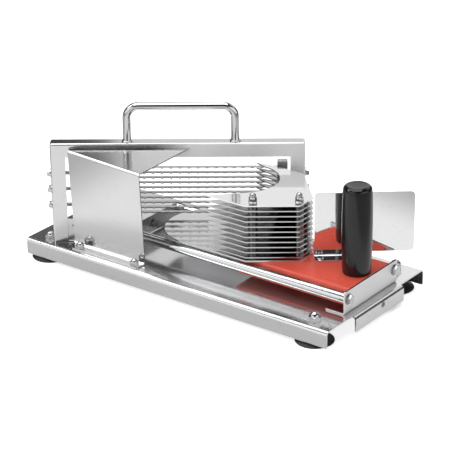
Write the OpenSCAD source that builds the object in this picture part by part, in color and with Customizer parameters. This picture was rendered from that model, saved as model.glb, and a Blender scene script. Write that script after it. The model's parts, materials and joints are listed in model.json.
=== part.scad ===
// Tomato slicer: a trolley on two rails pushes a tomato through a rack of fixed blades.
// Millimetres, +Z up. The origin is on the table, under the middle of the footprint.
// +X points to the grip end, -Y to the user's side.

/* [Base] */
// Length of the base plate, along the rails
base_l = 430; // [420:1:460]
// Width of the base plate
base_w = 196; // [190:1:220]
// Height of the folded long sides, from the top face
base_flange = 19.5; // [17:0.5:30]
// Thickness of the base sheet
base_t = 1.5; // [1:0.1:2]
// Inside radius of the folds in the sheets
bend_r = 1.5; // [0.5:0.1:2.5]
// Width of the folded tab at the grip end
tab_w = 97; // [60:1:120]
// Height of the folded tab, from the top face
tab_drop = 18.5; // [15:0.5:19]
// Diameter of the hole in the tab
tab_hole_d = 7; // [4:0.1:7]
// Distance of the tab hole from the middle of the tab
tab_hole_y = 6; // [0:0.5:20]
// Depth of the tab hole's centre below the top face
tab_hole_drop = 6.5; // [6:0.1:10]

/* [Feet] */
// Diameter of the suction rim
foot_d = 44; // [38:1:50]
// Rim height below the folded sides
foot_under = 4; // [3.5:0.1:8]
// Distance of the feet from the grip end of the base
foot_in_x = 29; // [26:1:36]
// Distance of the feet from the blade end of the base
left_foot_in_x = 22; // [20:0.5:23]
// Distance of the feet from the long sides of the base
foot_in_y = 17; // [15:0.5:21]
// Diameter of the neck of a foot
foot_neck_d = 20; // [16:0.5:24]

/* [Fasteners] */
// Diameter of the main screws
bolt_d = 6; // [5:0.1:6.5]
// Width across the flats of the main heads and nuts
bolt_af = 10; // [9:0.1:11]
// Height of a hexagon head
head_h = 4; // [3:0.1:5]
// Height of a dome nut
dome_h = 8; // [7.5:0.1:9]
// Height of the hexagon of a dome nut
dome_hex_h = 4.5; // [4:0.1:5]
// Thickness of a washer
washer_t = 1.2; // [0.8:0.1:1.6]
// Diameter of a washer
washer_d = 12.5; // [12:0.1:14]
// Diameter of the small screws
small_d = 4; // [3:0.1:5]

/* [Rails] */
// Diameter of a rail
rail_d = 12; // [11:0.1:13]
// Distance of the rail axes from the long sides of the base
rail_in = 52; // [50:0.5:55]
// Height of the rail axes above the base
rail_h = 17.4; // [16:0.1:20]
// Thickness of the bracket sheet
bracket_t = 2; // [1.5:0.1:3]
// Bracket width past each rail axis
bracket_side = 6.5; // [6:0.1:9]
// Height of the bracket at the grip end
bracket_h = 27.5; // [25:0.5:30]
// Height of the bracket at the blade end
left_bracket_h = 24; // [23.5:0.1:25]
// Length of the foot of a bracket
bracket_foot = 23; // [15:1:30]
// Distance of the right bracket from the end of the base
bracket_in = 9; // [5:0.5:14]
// Distance of the left bracket's face from the other end of the base
left_bracket_in = 113; // [108:1:116]

/* [Blade frame] */
// Length of the frame, across the base
frame_l = 295; // [288:1:305]
// Depth of the frame
frame_d = 14.5; // [14:0.1:16]
// Thickness of the frame sheet
frame_t = 1.5; // [1:0.1:1.8]
// Width of the posts
frame_post = 17.5; // [15:0.5:19]
// Height of the band over the window
frame_band = 17.3; // [15:0.1:22]
// Clear height over the top blade
head_room = 15.9; // [14:0.1:20]
// Distance of the frame's front corner from the end of the base
frame_left_in = 36; // [34:0.5:38]
// Distance of that corner from the front of the base
frame_front_in = 7.7; // [6:0.1:9]
// Distance of the far front corner from the back of the base
frame_back_in = 15.7; // [14:0.1:18]
// Height of the angles behind the posts
frame_foot_h = 30; // [24:0.5:31]
// Length of those angles
frame_foot_l = 23; // [22:0.5:26]

/* [Blades] */
// Number of blades
blade_n = 10; // [8:1:10]
// Distance from blade to blade
blade_pitch = 6.25; // [5.8:0.05:6.6]
// Thickness of a blade
blade_t = 0.6; // [0.4:0.05:1]
// Width of a blade, from its back to its points
blade_w = 8.5; // [7:0.1:9]
// Distance from point to point
scallop_pitch = 10.4; // [8:0.1:14]
// Depth of the hollows between the points
scallop_depth = 3.2; // [0.8:0.1:3.6]
// Width of a blade holder
holder_w = 12; // [11.5:0.1:14]
// Depth of a blade holder
holder_d = 9.5; // [9.2:0.1:10.5]
// Gap between the holder and the right post
holder_gap = 3; // [2:0.1:4]
// Gap between the holder and the left post
left_holder_gap = 7.5; // [5:0.1:10]
// Holder height over the top blade
holder_over = 8; // [5:0.1:10]
// Holder height under the lowest blade
holder_under = 4; // [3.5:0.1:4.5]
// Distance between the tension bolts
tension_gap = 20; // [16:0.5:22]
// Diameter of the tension bolts
tension_d = 5; // [4:0.1:6]
// Width across flats of their heads
tension_af = 8; // [7:0.1:9]
// Height of their heads
tension_head = 3.5; // [3:0.1:4.5]
// Diameter of their washers
tension_washer_d = 10; // [9.5:0.1:11]
// Diameter of the pins through the blade ends
blade_pin_d = 3; // [2:0.1:3.5]

/* [Carry handle] */
// Diameter of the handle bar
handle_d = 9.6; // [9:0.1:11]
// Distance between the handle legs
handle_gap = 124.5; // [100:0.5:150]
// Height of the handle over the frame
handle_rise = 49; // [40:0.5:60]
// Radius of the handle bends, at the middle of the bar
handle_bend = 14; // [10:0.5:20]
// Distance of the handle from the middle of the frame
handle_off = 4.5; // [0:0.5:10]

/* [Front guard] */
// Thickness of the guard sheet
guard_t = 1.5; // [1:0.1:2]
// Length of the upright panel
guard_l = 105; // [90:1:110]
// Distance of the panel from the front of the base
guard_in = 21; // [20:0.5:24]
// Width of the panel's foot
guard_foot = 14; // [13.5:0.1:16]
// Distance of the roof below the top of the frame
guard_drop = 10; // [8:0.5:13]
// Reach of the roof along the frame
guard_reach = 162; // [150:1:170]

/* [Slide] */
// Length of the slide block
slide_l = 149.5; // [146:0.5:152]
// Height of the upper half of the slide block, above the axes of the rails
slide_half = 9.6; // [9.3:0.1:10]
// Depth of the lower half, below the axes of the rails
slide_low = 8.4; // [8:0.1:9.5]
// Width of the upper half past the inside of the rails
slide_lip = 1; // [0.5:0.1:2]
// Chamfer along the top of the block
slide_chamfer = 2.2; // [0.5:0.1:2.5]
// Clearance between the block and the rails
slide_gap = 0.3; // [0.2:0.05:0.5]
// Gap between the block and the right bracket at rest
rest_gap = 0.5; // [0.4:0.1:2]

/* [Pusher] */
// Thickness of the carrier plate
carrier_t = 2; // [1.5:0.1:3]
// Reach of the carrier's round nose in front of the block
carrier_reach = 124; // [110:1:126]
// Thickness of a pusher plate
plate_t = 1.5; // [1:0.1:2]
// Height of the spacers between the carrier and the lowest plate
first_spacer = 2.7; // [2:0.1:4]
// Diameter of the spacers
spacer_d = 10.5; // [9:0.1:12]
// Overhang of the plates past the front rail axis
pusher_over = 5; // [3:0.1:7]
// Gap between the plates and the right blade holder
pusher_side_gap = 3.2; // [2:0.1:5]
// Reach of the plates behind the front of the block
pusher_back = 66.3; // [64:0.1:70]
// Distance of the plates' side corners behind the front of the block
pusher_corner = 17.5; // [14:0.1:20]
// Length of the plates' rear edge
pusher_tail = 27; // [20:0.5:34]
// Radius of the notch that holds the tomato
notch_r = 42.5; // [38:0.5:44]
// Width of the rear finger of the plates
finger_w = 8; // [6:0.1:10]
// Distance of the notch centre in front of the block
notch_ahead = 32; // [28:0.5:34]
// Reach of the rear finger in front of the block
finger_reach = 47; // [44:0.5:48]
// Diameter of the pusher studs
stud_d = 5; // [4:0.1:5]
// Width across the flats of the dome nuts on the studs
stud_nut_af = 8; // [7.5:0.1:9]
// Height of these nuts
stud_nut_h = 9.5; // [9:0.1:11]
// Diameter of the washers under them
stud_washer_d = 10; // [9.5:0.1:11]
// Distance of the studs from the slanted edge of the plates
stud_in = 12.5; // [11:0.1:15]

/* [Hand guard and grip] */
// Thickness of the hand guard sheet
hand_t = 1.5; // [1:0.1:2]
// Width of the hand guard
hand_w = 112; // [100:1:112]
// Height of the hand guard over the slide
hand_h = 77; // [60:1:80]
// Depth of the hand guard's foot
hand_foot = 14.5; // [12:0.5:16]
// Length of the hand guard's foot
hand_foot_l = 46; // [40:0.5:48]
// Gap between the slide and the free bottom of the hand guard
hand_lift = 5; // [4:0.1:8]
// Gap between the hand guard and the plates
hand_gap = 4.5; // [3:0.1:6]
// Radius of the corners of the hand guard
hand_corner = 5; // [2:0.5:8]
// Largest diameter of the grip
grip_d = 34.4; // [30:0.1:34.8]
// Diameter of the grip at its ends
grip_end_d = 32.2; // [28:0.1:33]
// Height of the grip
grip_h = 104; // [90:1:115]
// Radius of the grip's top edge
grip_round = 5; // [2:0.5:8]
// Distance of the grip from the end of the block
grip_in = 17.5; // [17:0.5:20]
// Diameter of the grip's stud
grip_stud_d = 8; // [6:0.1:10]

/* [Hidden] */
$fn = 48;

// Radial clearance of a screw in its thread, and of a pin in its hole
thread_gap = 0.05;
// Radial clearance of a screw in a plain hole
hole_gap = 0.3;
// Length by which a cut passes the faces that it opens
over = 1;

// Colours
steel = [0.78, 0.79, 0.80];
dark_steel = [0.62, 0.63, 0.65];
red = [0.80, 0.20, 0.13];
black = [0.06, 0.06, 0.06];

// Base: the tab stands past the end of the plate by the outside radius of its fold
base_bend = bend_r + base_t;
base_x0 = -(base_l + base_bend) / 2;
base_x1 = base_x0 + base_l;
base_top = base_flange + foot_under;
base_under = base_top - base_t;
foot_spots = [for (x = [base_x0 + left_foot_in_x, base_x1 - foot_in_x], s = [-1, 1])
              [x, s * (base_w / 2 - foot_in_y)]];

// Feet
rim_h = foot_under / 2;
rim_w = 2;
cup_depth = 0.7 * base_flange;
foot_h = base_under;
stud_sunk = 10;
stud_rise = dome_h * 0.6;

// Rails and brackets
rail_gap = base_w - 2 * rail_in;
bracket_w = rail_gap + 2 * bracket_side;
right_x = base_x1 - bracket_in;
left_x = base_x0 + left_bracket_in;
rail_x0 = left_x;
rail_x1 = right_x - bracket_t;
rail_z = base_top + rail_h;
rail_y = rail_gap / 2;
rail_screw_l = 20;
stop_z = base_top + rail_h - bolt_af / 2;

// Slide block
slide_x1 = rail_x1 - rest_gap;
slide_x0 = slide_x1 - slide_l;
slide_top = rail_z + slide_half;
slide_bottom = rail_z - slide_low;
groove_r = rail_d / 2 + slide_gap;
upper_w = rail_gap - rail_d + 2 * slide_lip;
lower_w = rail_gap;

// Stack of blades and plates
carrier_top = slide_top + carrier_t;
low_plate = carrier_top + first_spacer;
low_blade = low_plate + plate_t / 2 + blade_pitch / 2 - blade_t / 2;
top_blade = low_blade + (blade_n - 1) * blade_pitch;
top_plate = low_plate + blade_n * blade_pitch + plate_t;

// Blade frame: its front face runs from the front left corner to the far right
window_top = top_blade + head_room;
frame_top = window_top + frame_band;
frame_h = frame_top - base_top;
frame_x = base_x0 + frame_left_in;
frame_y = -base_w / 2 + frame_front_in;
frame_angle = asin((base_w - frame_front_in - frame_back_in) / frame_l);
function on_frame(along, behind) =
    [frame_x + along * cos(frame_angle) - behind * sin(frame_angle),
     frame_y + along * sin(frame_angle) + behind * cos(frame_angle)];
// The angles behind the posts: place along the frame, place of the bolts
frame_foot_in = 4;
frame_foot_bolt = frame_foot_in + 0.6 * frame_foot_l;
frame_foot_behind = 0.6 * frame_d;

// Blade holders stand behind the front sheet of the frame
holder_behind = frame_t + 1.5;
holder_mid = holder_behind + holder_d / 2;
left_holder = frame_post + left_holder_gap;
right_holder = frame_l - frame_post - holder_gap - holder_w;
holder_z0 = low_blade - holder_under;
holder_z1 = top_blade + blade_t + holder_over;
blade_grip = 6.5;
blade_pin_in = 3.5;
pin_spots = [left_holder + holder_w - blade_pin_in, right_holder + blade_pin_in];
tension_depth = 4.5;
tension_zs = [for (k = [-1:1]) (holder_z0 + holder_z1) / 2 + k * tension_gap];

// Pusher plates: the outer sides, the notch and the studs
pusher_y1 = on_frame(right_holder, holder_behind)[1] - pusher_side_gap;
pusher_y0 = -rail_y - pusher_over;
pusher_x1 = slide_x0 + pusher_back;
corner_x = slide_x0 + pusher_corner;
tail_y0 = pusher_y0 + (pusher_x1 - corner_x) * tan(frame_angle);
tail_y1 = tail_y0 + pusher_tail;
finger_x = slide_x0 - finger_reach;
finger_y = pusher_y1 - finger_w * 0.45;
finger_taper = 0.47 * finger_reach;
notch_x = slide_x0 - notch_ahead;
notch_y = pusher_y1 - finger_w - notch_r;
edge_l = (pusher_x1 - corner_x) / cos(frame_angle);
stud_first = 1.7 * stud_d;
stud_along = [stud_first, edge_l];
stud_spots = [for (s = stud_along)
    [corner_x + s * cos(frame_angle) - stud_in * sin(frame_angle),
     pusher_y0 + s * sin(frame_angle) + stud_in * cos(frame_angle)]];
nose_r = -pusher_y0;
nose_x = slide_x0 - carrier_reach + nose_r;

// Front guard
guard_y = -base_w / 2 + guard_in;
guard_z = frame_top - guard_drop;
guard_touch = 0.3;
guard_bend = bend_r + guard_t;
guard_x0 = frame_x + (guard_y + guard_t + guard_touch - frame_y) / tan(frame_angle);
guard_x1 = guard_x0 + guard_l;
guard_cut = 0.85 * guard_foot;
guard_spots = [for (x = [guard_x0 + guard_l * 0.15, guard_x1 - guard_l * 0.076])
               [x, guard_y - guard_foot * 0.62]];

// Hand guard, and how deep its screws and the slide screws go
hand_x = pusher_x1 + hand_gap;
hand_y = tail_y1 - hand_gap;
hand_bend = bend_r + hand_t;
hand_screw_in = 1.5 * small_d;
hand_screw_ends = [hand_screw_in, hand_foot_l - hand_screw_in];
screw_sunk = 7;

// Grip
grip_x = slide_x1 - grip_in;
grip_thread = 30;

// Carry handle
handle_mid = frame_l / 2 + handle_off;
handle_legs = [handle_mid - handle_gap / 2, handle_mid + handle_gap / 2];
collar_t = 2;
collar_d = handle_d + 3;
handle_screw_l = 14;

// Hexagon with a given width across its flats
module hexagon(af, h) {
    cylinder(d = af / cos(30), h = h, $fn = 6);
}

// Hexagon bolt: the head hangs below z = 0 and the shank rises to l
module hex_bolt(d, l, af, h) {
    translate([0, 0, -h]) hexagon(af, h);
    cylinder(d = d, h = l);
}

// Plain washer standing on z = 0
module washer(d, od, t) {
    difference() {
        cylinder(d = od, h = t);
        translate([0, 0, -over]) cylinder(d = d + 2 * hole_gap, h = t + 2 * over);
    }
}

// Hexagon nut with a thread that clears its bolt
module hex_nut(d, af, h) {
    difference() {
        hexagon(af, h);
        translate([0, 0, -over]) cylinder(d = d + 2 * thread_gap, h = h + 2 * over);
    }
}

// Dome nut: a hexagon under a round cap, with a blind thread
module dome_nut(d, af, hex_h, h, bore) {
    cap_r = af * 0.46;
    difference() {
        union() {
            hexagon(af, hex_h);
            rotate_extrude() {
                square([cap_r, h - cap_r]);
                translate([0, h - cap_r]) intersection() {
                    circle(r = cap_r);
                    square(cap_r);
                }
            }
        }
        translate([0, 0, -over]) cylinder(d = d + 2 * thread_gap, h = bore + over);
    }
}

// Section of a folded angle, its outer corner at the origin, legs along +x and +y
module angle_section(a, b, t, r) {
    outer = r + t;
    translate([outer, 0]) square([a - outer, t]);
    translate([0, outer]) square([t, b - outer]);
    intersection() {
        square(outer);
        translate([outer, outer]) difference() {
            circle(r = outer);
            circle(r = r);
        }
    }
}

// Places its children in the frame's own axes: x along the frame, y behind its face, z up
module in_frame() {
    translate([frame_x, frame_y, 0]) rotate([0, 0, frame_angle]) children();
}

// Extrudes a section drawn in y and z along x
module along_x(l) {
    rotate([90, 0, 90]) linear_extrude(l) children();
}

// Extrudes a section drawn in x and z along +y
module along_y(l) {
    mirror([0, 1, 0]) rotate([90, 0, 0]) linear_extrude(l) children();
}

module base_tray() {
    side = base_w / 2;
    color(steel) difference() {
        union() {
            translate([base_x0, 0, 0]) along_x(base_l) {
                translate([-side, base_top]) mirror([0, 1]) angle_section(side, base_flange, base_t, bend_r);
                translate([side, base_top]) rotate(180) angle_section(side, base_flange, base_t, bend_r);
            }
            translate([base_x1 + base_bend, -tab_w / 2, base_top])
                along_y(tab_w) rotate(180) angle_section(2 * base_bend, tab_drop, base_t, bend_r);
        }
        for (p = concat(foot_spots, guard_spots, frame_bolt_spots()))
            translate([p[0], p[1], base_under - over])
                cylinder(d = bolt_d + 2 * hole_gap, h = base_t + 2 * over);
        translate([base_x1 + base_bend - base_t - over, tab_hole_y, base_top - tab_hole_drop])
            rotate([0, 90, 0]) cylinder(d = tab_hole_d, h = base_t + 2 * over);
    }
}

function frame_bolt_spots() =
    [for (s = [frame_foot_bolt, frame_l - frame_foot_bolt]) on_frame(s, frame_foot_behind)];

// Suction cup: a thin wide rim, a hollow underside and a neck up to the base
module feet() {
    rim = foot_d / 2;
    neck = foot_neck_d / 2;
    color(black) for (p = foot_spots)
        translate([p[0], p[1], 0]) difference() {
            rotate_extrude() polygon([
                [0, cup_depth * 0.5], [rim - rim_w - 5, rim_h * 0.5], [rim - rim_w, 0], [rim, 0],
                [rim, rim_h * 0.6], [rim - 2, rim_h], [neck + 3, foot_under - 0.3],
                [neck + 1, foot_under + 2], [neck, foot_under + 6], [neck, foot_h], [0, foot_h]]);
            translate([0, 0, foot_h - stud_sunk]) cylinder(d = bolt_d + 2 * thread_gap, h = stud_sunk + over);
        }
}

module foot_studs() {
    color(dark_steel) for (p = foot_spots)
        translate([p[0], p[1], foot_h - stud_sunk])
            cylinder(d = bolt_d, h = stud_sunk + base_t + stud_rise);
}

module foot_nuts() {
    color(steel) for (p = foot_spots)
        translate([p[0], p[1], base_top]) dome_nut(bolt_d, bolt_af, dome_hex_h, dome_h, stud_rise + 0.5);
}

// Folded angle whose upright face looks along +X and whose foot runs back under the rails
module rail_bracket(x, h) {
    difference() {
        translate([x, -bracket_w / 2, base_top])
            along_y(bracket_w) mirror([1, 0]) angle_section(bracket_foot, h, bracket_t, bend_r);
        for (s = [-1, 1])
            translate([x - bracket_t - over, s * rail_y, rail_z])
                rotate([0, 90, 0]) cylinder(d = bolt_d + 2 * hole_gap, h = bracket_t + 2 * over);
        children();
    }
}

module right_rail_bracket() {
    color(steel) rail_bracket(right_x, bracket_h);
}

module left_rail_bracket() {
    color(steel) rail_bracket(left_x, left_bracket_h)
        translate([left_x - bracket_t - over, 0, stop_z])
            rotate([0, 90, 0]) cylinder(d = bolt_d + 2 * hole_gap, h = bracket_t + 2 * over);
}

// Round bar with a tapped hole in each end
module rail(y) {
    translate([rail_x0, y, rail_z]) rotate([0, 90, 0]) difference() {
        cylinder(d = rail_d, h = rail_x1 - rail_x0);
        translate([0, 0, -over]) cylinder(d = bolt_d + 2 * thread_gap, h = rail_screw_l + 1 + over);
        translate([0, 0, rail_x1 - rail_x0 - rail_screw_l - 1])
            cylinder(d = bolt_d + 2 * thread_gap, h = rail_screw_l + 1 + over);
    }
}

module front_rail() {
    color(steel) rail(-rail_y);
}

module back_rail() {
    color(steel) rail(rail_y);
}

// Places its children at the four rail ends, with z pointing into the rail from the bracket's far face
module at_rail_ends() {
    for (s = [-1, 1]) {
        translate([right_x, s * rail_y, rail_z]) rotate([0, -90, 0]) children();
        translate([left_x - bracket_t, s * rail_y, rail_z]) rotate([0, 90, 0]) children();
    }
}

module rail_bolts() {
    color(steel) at_rail_ends()
        translate([0, 0, -washer_t]) hex_bolt(bolt_d, rail_screw_l + bracket_t + washer_t, bolt_af, head_h);
}

module rail_washers() {
    color(dark_steel) at_rail_ends() translate([0, 0, -washer_t]) washer(bolt_d, washer_d, washer_t);
}

module stop_bolt() {
    color(steel) translate([left_x, 0, stop_z]) rotate([0, -90, 0])
        hex_bolt(bolt_d, bracket_t + head_h + 3, bolt_af, head_h);
}

module stop_nut() {
    color(dark_steel) translate([left_x - bracket_t, 0, stop_z]) rotate([0, -90, 0])
        hex_nut(bolt_d, bolt_af, head_h);
}

// Folded portal: a front sheet with the window cut through to the base, a top fold and two side folds
module blade_frame() {
    fold = frame_t + bend_r;
    color(steel) in_frame() difference() {
        union() {
            difference() {
                translate([0, 0, base_top]) cube([frame_l, frame_t, frame_h - fold]);
                translate([frame_post, -over, base_top - over])
                    cube([frame_l - 2 * frame_post, frame_t + 2 * over, window_top - base_top + over]);
            }
            translate([0, 0, frame_top]) along_x(frame_l) mirror([0, 1])
                angle_section(frame_d, fold + 1, frame_t, bend_r);
            for (x = [0, frame_l - frame_t])
                translate([x, frame_t / 2, base_top])
                    cube([frame_t, frame_d - frame_t / 2, frame_h - frame_t / 2]);
        }
        for (z = tension_zs)
            translate([-over, holder_mid, z]) rotate([0, 90, 0])
                cylinder(d = tension_d + 2 * hole_gap, h = frame_l + 2 * over);
        for (x = handle_legs)
            translate([x, frame_d / 2, frame_top - frame_t - over])
                cylinder(d = bolt_d + 2 * hole_gap, h = frame_t + 2 * over);
    }
}

// Angles behind the posts that hold the frame to the base
module frame_feet() {
    color(dark_steel) in_frame() for (x = [frame_foot_in, frame_l - frame_foot_in - frame_foot_l]) {
        hole_x = x < frame_l / 2 ? frame_foot_l - 3 : 3;
        bolt_x = x < frame_l / 2 ? frame_foot_bolt - x : frame_l - frame_foot_bolt - x;
        translate([x, frame_t, base_top]) difference() {
            along_x(frame_foot_l) angle_section(frame_d - frame_t, frame_foot_h, bracket_t, bend_r);
            translate([bolt_x, frame_foot_behind - frame_t, -over])
                cylinder(d = bolt_d + 2 * hole_gap, h = bracket_t + 2 * over);
            translate([hole_x, -over, frame_foot_h * 0.7]) rotate([-90, 0, 0])
                cylinder(d = small_d, h = bracket_t + 2 * over);
        }
    }
}

module frame_bolts() {
    color(steel) for (p = frame_bolt_spots())
        translate([p[0], p[1], base_under])
            hex_bolt(bolt_d, base_t + bracket_t + head_h + 2, bolt_af, head_h);
}

module frame_nuts() {
    color(steel) for (p = frame_bolt_spots())
        translate([p[0], p[1], base_top + bracket_t]) hex_nut(bolt_d, bolt_af, head_h);
}

// Slotted block: x is the side that faces the blades, dir points to the post
module blade_holder(x, dir) {
    inner = dir > 0 ? x : x + holder_w;
    in_frame() difference() {
        translate([x, holder_behind, holder_z0]) cube([holder_w, holder_d, holder_z1 - holder_z0]);
        for (k = [0:blade_n - 1])
            translate([dir > 0 ? inner - over : inner - blade_grip - thread_gap, holder_behind - over,
                       low_blade + k * blade_pitch - thread_gap])
                cube([blade_grip + thread_gap + over, holder_d + 2 * over, blade_t + 2 * thread_gap]);
        translate([inner + dir * blade_pin_in, holder_mid, holder_z0 - over])
            cylinder(d = blade_pin_d + 2 * thread_gap, h = holder_z1 - holder_z0 + 2 * over);
        for (z = tension_zs)
            translate([inner + dir * (holder_w - tension_depth), holder_mid, z])
                rotate([0, dir * 90, 0]) cylinder(d = tension_d + 2 * thread_gap, h = tension_depth + over);
    }
}

module left_blade_holder() {
    color(dark_steel) blade_holder(left_holder, -1);
}

module right_blade_holder() {
    color(dark_steel) blade_holder(right_holder, 1);
}

// Thin strips with hollow-ground points towards the tomato
module blades() {
    x0 = left_holder + holder_w - blade_grip;
    x1 = right_holder + blade_grip;
    free = right_holder - left_holder - holder_w;
    points = floor(free / scallop_pitch) - 1;
    first = (x0 + x1) / 2 - points * scallop_pitch / 2;
    hollow_r = scallop_pitch * scallop_pitch / (8 * scallop_depth) + scallop_depth / 2;
    back = holder_mid + blade_w / 2;
    front = holder_mid - blade_w / 2;
    color(steel) in_frame() for (k = [0:blade_n - 1])
        translate([0, 0, low_blade + k * blade_pitch]) linear_extrude(blade_t) difference() {
            translate([x0, front]) square([x1 - x0, back - front]);
            for (n = [0:points - 1])
                translate([first + (n + 0.5) * scallop_pitch, front + scallop_depth - hollow_r])
                    circle(r = hollow_r, $fn = 96);
            for (x = pin_spots)
                translate([x, holder_mid]) circle(d = blade_pin_d + 2 * thread_gap);
        }
}

module blade_pins() {
    color(dark_steel) in_frame() for (x = pin_spots)
        translate([x, holder_mid, holder_z0]) cylinder(d = blade_pin_d, h = holder_z1 - holder_z0);
}

// Places its children at the six tension bolts, with z pointing inwards from the side of the frame
module at_tension_bolts() {
    in_frame() for (z = tension_zs) {
        translate([0, holder_mid, z]) rotate([0, 90, 0]) children(0);
        translate([frame_l, holder_mid, z]) rotate([0, -90, 0]) children(1);
    }
}

module tension_bolts() {
    left_l = left_holder + tension_depth;
    right_l = frame_l - right_holder - holder_w + tension_depth;
    color(steel) at_tension_bolts() {
        translate([0, 0, -washer_t]) hex_bolt(tension_d, left_l + washer_t - 0.5, tension_af, tension_head);
        translate([0, 0, -washer_t]) hex_bolt(tension_d, right_l + washer_t - 0.5, tension_af, tension_head);
    }
}

module tension_washers() {
    color(dark_steel) at_tension_bolts() {
        translate([0, 0, -washer_t]) washer(tension_d, tension_washer_d, washer_t);
        translate([0, 0, -washer_t]) washer(tension_d, tension_washer_d, washer_t);
    }
}

// Round bar bent twice, standing on the frame
module carry_handle() {
    leg_h = handle_rise - handle_d / 2 - handle_bend;
    straight = handle_gap - 2 * handle_bend;
    color(steel) in_frame() translate([handle_mid, frame_d / 2, frame_top]) difference() {
        union() {
            for (s = [-1, 1]) {
                translate([s * handle_gap / 2, 0, 0]) cylinder(d = handle_d, h = leg_h);
                translate([s * straight / 2, 0, leg_h]) rotate([90, 0, 0]) rotate(s > 0 ? 0 : 90)
                    rotate_extrude(angle = 90) translate([handle_bend, 0]) circle(d = handle_d);
            }
            translate([-straight / 2, 0, leg_h + handle_bend]) rotate([0, 90, 0])
                cylinder(d = handle_d, h = straight);
        }
        for (s = [-1, 1])
            translate([s * handle_gap / 2, 0, -over])
                cylinder(d = bolt_d + 2 * thread_gap, h = handle_screw_l + over);
    }
}

module handle_collars() {
    color(steel) in_frame() for (x = handle_legs)
        translate([x, frame_d / 2, frame_top]) difference() {
            cylinder(d = collar_d, h = collar_t);
            translate([0, 0, -over]) cylinder(d = handle_d + 2 * thread_gap, h = collar_t + 2 * over);
        }
}

module handle_screws() {
    color(dark_steel) in_frame() for (x = handle_legs)
        translate([x, frame_d / 2, frame_top - frame_t])
            hex_bolt(bolt_d, handle_screw_l + frame_t - 1, bolt_af, head_h);
}

// Folded guard: a foot on the base, an upright panel and a triangular roof up to the frame
module front_guard() {
    tip = on_frame(guard_reach, -guard_touch);
    heel = on_frame((guard_y + guard_bend - frame_y + guard_touch * cos(frame_angle)) / sin(frame_angle),
                    -guard_touch);
    color(steel) difference() {
        union() {
            translate([guard_x0, guard_y, base_top]) along_x(guard_l) {
                translate([guard_t, 0]) mirror([1, 0])
                    angle_section(guard_foot + guard_t, guard_z - base_top - guard_bend + 0.5,
                                  guard_t, bend_r);
            }
            translate([guard_x0, guard_y, guard_z]) along_x(guard_l)
                mirror([0, 1]) angle_section(guard_bend + 0.5, guard_bend + 1, guard_t, bend_r);
            translate([0, 0, guard_z - guard_t]) linear_extrude(guard_t) polygon([
                [heel[0] + 0.5, guard_y + guard_bend], [guard_x1, guard_y + guard_bend], tip]);
        }
        for (p = guard_spots)
            translate([p[0], p[1], base_top - over])
                cylinder(d = bolt_d + 2 * hole_gap, h = guard_t + 2 * over);
        translate([guard_x0, guard_y - guard_foot, base_top - over]) rotate(45)
            cube([guard_cut, guard_cut, 2 * (guard_t + over)], center = true);
    }
}

module guard_bolts() {
    color(steel) for (p = guard_spots)
        translate([p[0], p[1], base_under]) hex_bolt(bolt_d, base_t + guard_t + stud_rise, bolt_af, head_h);
}

module guard_nuts() {
    color(steel) for (p = guard_spots)
        translate([p[0], p[1], base_top + guard_t])
            dome_nut(bolt_d, bolt_af, dome_hex_h, dome_h, stud_rise + 0.5);
}

// Half of the slide block, drawn in y and z, with the grooves for the rails
module slide_section(w, z0, z1) {
    difference() {
        translate([-w / 2, z0]) square([w, z1 - z0]);
        for (s = [-1, 1]) translate([s * rail_y, rail_z]) circle(r = groove_r);
    }
}

// Holes that the studs and screws make in both halves
module slide_holes() {
    for (p = stud_spots)
        translate([p[0], p[1], slide_bottom - over])
            cylinder(d = stud_d + 2 * hole_gap, h = slide_half + slide_low + 2 * over);
    translate([grip_x, 0, slide_bottom - over])
        cylinder(d = grip_stud_d + 2 * hole_gap, h = slide_half + slide_low + 2 * over);
}

module upper_slide() {
    c = slide_chamfer;
    w = upper_w / 2;
    color(red) difference() {
        intersection() {
            translate([slide_x0, 0, 0]) along_x(slide_l) slide_section(upper_w, rail_z, slide_top);
            translate([slide_x0, 0, 0]) along_x(slide_l) polygon([
                [-w, rail_z], [w, rail_z], [w, slide_top - c], [w - c, slide_top], [c - w, slide_top],
                [-w, slide_top - c]]);
            translate([0, -w, 0]) along_y(2 * w) polygon([
                [slide_x0, rail_z], [slide_x1, rail_z], [slide_x1, slide_top - c], [slide_x1 - c, slide_top],
                [slide_x0, slide_top]]);
        }
        slide_holes();
        for (p = slide_screw_spots())
            translate([p[0], p[1], rail_z - over])
                cylinder(d = small_d + 2 * thread_gap, h = screw_sunk + over);
        for (p = hand_screw_spots())
            translate([p[0], p[1], slide_top - screw_sunk])
                cylinder(d = small_d + 2 * thread_gap, h = screw_sunk + over);
    }
}

// Countersunk head for a screw of diameter d, its flat face on z = 0
module sunk_head(d, gap) {
    cylinder(d1 = 2 * d + 2 * gap, d2 = d + 2 * gap, h = d / 2);
}

module lower_slide() {
    color(red) difference() {
        translate([slide_x0, 0, 0]) along_x(slide_l) slide_section(lower_w, slide_bottom, rail_z);
        slide_holes();
        for (p = stud_spots) translate([p[0], p[1], slide_bottom - 0.01]) sunk_head(stud_d, hole_gap);
        translate([grip_x, 0, slide_bottom - 0.01]) sunk_head(grip_stud_d, hole_gap);
        for (p = slide_screw_spots())
            translate([p[0], p[1], slide_bottom - 0.01]) {
                sunk_head(small_d, hole_gap);
                cylinder(d = small_d + 2 * hole_gap, h = slide_low + over);
            }
    }
}

function slide_screw_spots() = [for (x = [slide_x0 + slide_l * 0.06, slide_x1 - slide_l * 0.2], s = [-1, 1])
                                [x, s * (rail_y - groove_r) * 0.7]];

module slide_screws() {
    color(steel) for (p = slide_screw_spots())
        translate([p[0], p[1], slide_bottom]) {
            sunk_head(small_d, 0);
            cylinder(d = small_d, h = slide_low + screw_sunk - 1);
        }
}

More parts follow.
